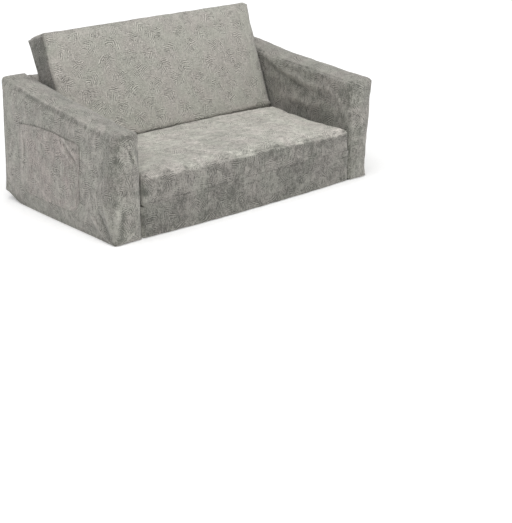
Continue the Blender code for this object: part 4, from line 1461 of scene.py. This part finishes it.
def small_block(low, high):
    """Corners and quads of a bar whose outer edges are chamfered, with its outside at high y."""
    places = []
    for inset, y in ((0.0, low[Y]), (0.0, high[Y] - TOOTH_CHAMFER), (TOOTH_CHAMFER, high[Y])):
        near_x, near_z = low[X] + inset, low[Z] + inset
        far_x, far_z = high[X] - inset, high[Z] - inset
        places += [(near_x, y, near_z), (far_x, y, near_z), (far_x, y, far_z), (near_x, y, far_z)]
    quads = [(0, 1, 2, 3), (8, 11, 10, 9)]
    for first in (0, 4):
        for step in range(4):
            following = (step + 1) % 4
            quads.append((first + step, first + step + 4, first + following + 4, first + following))
    return places, quads


def make_zip(name, axis):
    """A zip's teeth, tape and rows of stitches along one axis, and the look of its metal parts."""
    low, high = (np.array(point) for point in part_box(f"{name}_teeth"))
    side_axis = X if axis == Z else Z
    middle = (low[side_axis] + high[side_axis]) / 2
    places, quads = [], []
    for index in range(int((high[axis] - low[axis]) / TOOTH_PITCH * 2)):
        start = low[axis] + index * TOOTH_PITCH / 2
        near, far = -TOOTH_OVERLAP, TOOTH_LENGTH - TOOTH_OVERLAP
        if index % 2 == 0:
            near, far = -far, -near
        tooth_low, tooth_high = low.copy(), high.copy()
        tooth_low[axis], tooth_high[axis] = start, start + TOOTH_WIDTH
        tooth_low[side_axis] = max(middle + near, low[side_axis])
        tooth_high[side_axis] = min(middle + far, high[side_axis])
        block, faces = small_block(tooth_low, tooth_high)
        quads += [tuple(corner + len(places) for corner in face) for face in faces]
        places += block
    teeth = make_piece(f"{name}_moulded_teeth", np.array(places), np.array(quads), TEETH, "base")
    teeth.data.shade_flat()
    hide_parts(f"{name}_teeth")

    low, high = (np.array(point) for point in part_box(f"{name}_tape"))
    length, breadth = high[axis] - low[axis], high[side_axis] - low[side_axis]
    rows = int(length / TAPE_CELL)
    grid = np.zeros((rows + 1, TAPE_COLUMNS + 1, 3))
    grid[:, :, axis] = np.linspace(low[axis], high[axis], rows + 1)[:, None]
    grid[:, :, side_axis] = np.linspace(low[side_axis], high[side_axis], TAPE_COLUMNS + 1)
    ripple = TAPE_RIPPLE * noise_at(grid.reshape(-1, 3), TAPE_RIPPLE_LENGTH, 41).reshape(grid.shape[:2])
    grid[:, :, Y] = high[Y] - TAPE_RIPPLE + ripple
    places, quads, normals = thick_sheet(grid, high[Y] - low[Y] - TAPE_SPARE, flip=axis == X)
    tape = make_piece(f"{name}_woven_tape", places, quads, TAPE, "base")
    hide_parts(f"{name}_tape")
    for number, edge in enumerate(TAPE_SEAMS, 1):
        line = np.zeros((2, 3))
        line[:, axis] = (low[axis] + TAPE_SEAM_END, high[axis] - TAPE_SEAM_END)
        line[:, side_axis] = low[side_axis] + breadth * edge
        line[:, Y] = high[Y]
        stitches(f"{name}_stitches_{number}", line, (0.0, 1.0, 0.0), *TAPE_STITCH)
    for part in ("slider", "pull"):
        frame["nodes"][f"{name}_{part}"].data.materials[0] = METAL


make_front_fold()
make_backrest_fold()
make_lining()
make_pocket(made[0])
for name in ("left_arm", "right_arm", "back_panel", "base_pad"):
    make_underside(name)
make_zip("left_arm_zip", Z)
make_zip("right_arm_zip", Z)
make_zip("back_zip", X)

# Floor, light and camera
floor_mesh = bpy.data.meshes.new("studio_floor")
floor_corners = [(x * FLOOR_HALF, y * FLOOR_HALF, 0.0) for x, y in ((-1, -1), (1, -1), (1, 1), (-1, 1))]
floor_mesh.from_pydata(floor_corners, [], [(0, 1, 2, 3)])
floor_mesh.materials.append(floor_finish("studio_floor"))
add_object("studio_floor", floor_mesh)

world = bpy.data.worlds.new("studio")
world.use_nodes = True
background = world.node_tree.nodes["Background"]
background.inputs["Color"].default_value = WHITE
background.inputs["Strength"].default_value = SKY_STRENGTH
bpy.context.scene.world = world

key = bpy.data.lights.new("soft_key", "SUN")
key.energy = KEY_STRENGTH
key.angle = KEY_SPREAD
lamp = add_object("soft_key", key)
lamp.location = KEY_FROM
lamp.rotation_euler = (-Vector(KEY_FROM)).to_track_quat("-Z", "Y").to_euler()

lens = bpy.data.cameras.new("photo_camera")
lens.sensor_width = SENSOR
lens.lens = FOCAL_PIXELS * SENSOR / PHOTO_HEIGHT
lens.clip_end = 100.0
camera = add_object("photo_camera", lens)
camera.location = CAMERA_PLACE
camera.rotation_euler = (math.pi / 2 - CAMERA_PITCH, 0.0, -CAMERA_YAW)
bpy.context.scene.camera = camera
bpy.context.scene.view_settings.view_transform = "Standard"
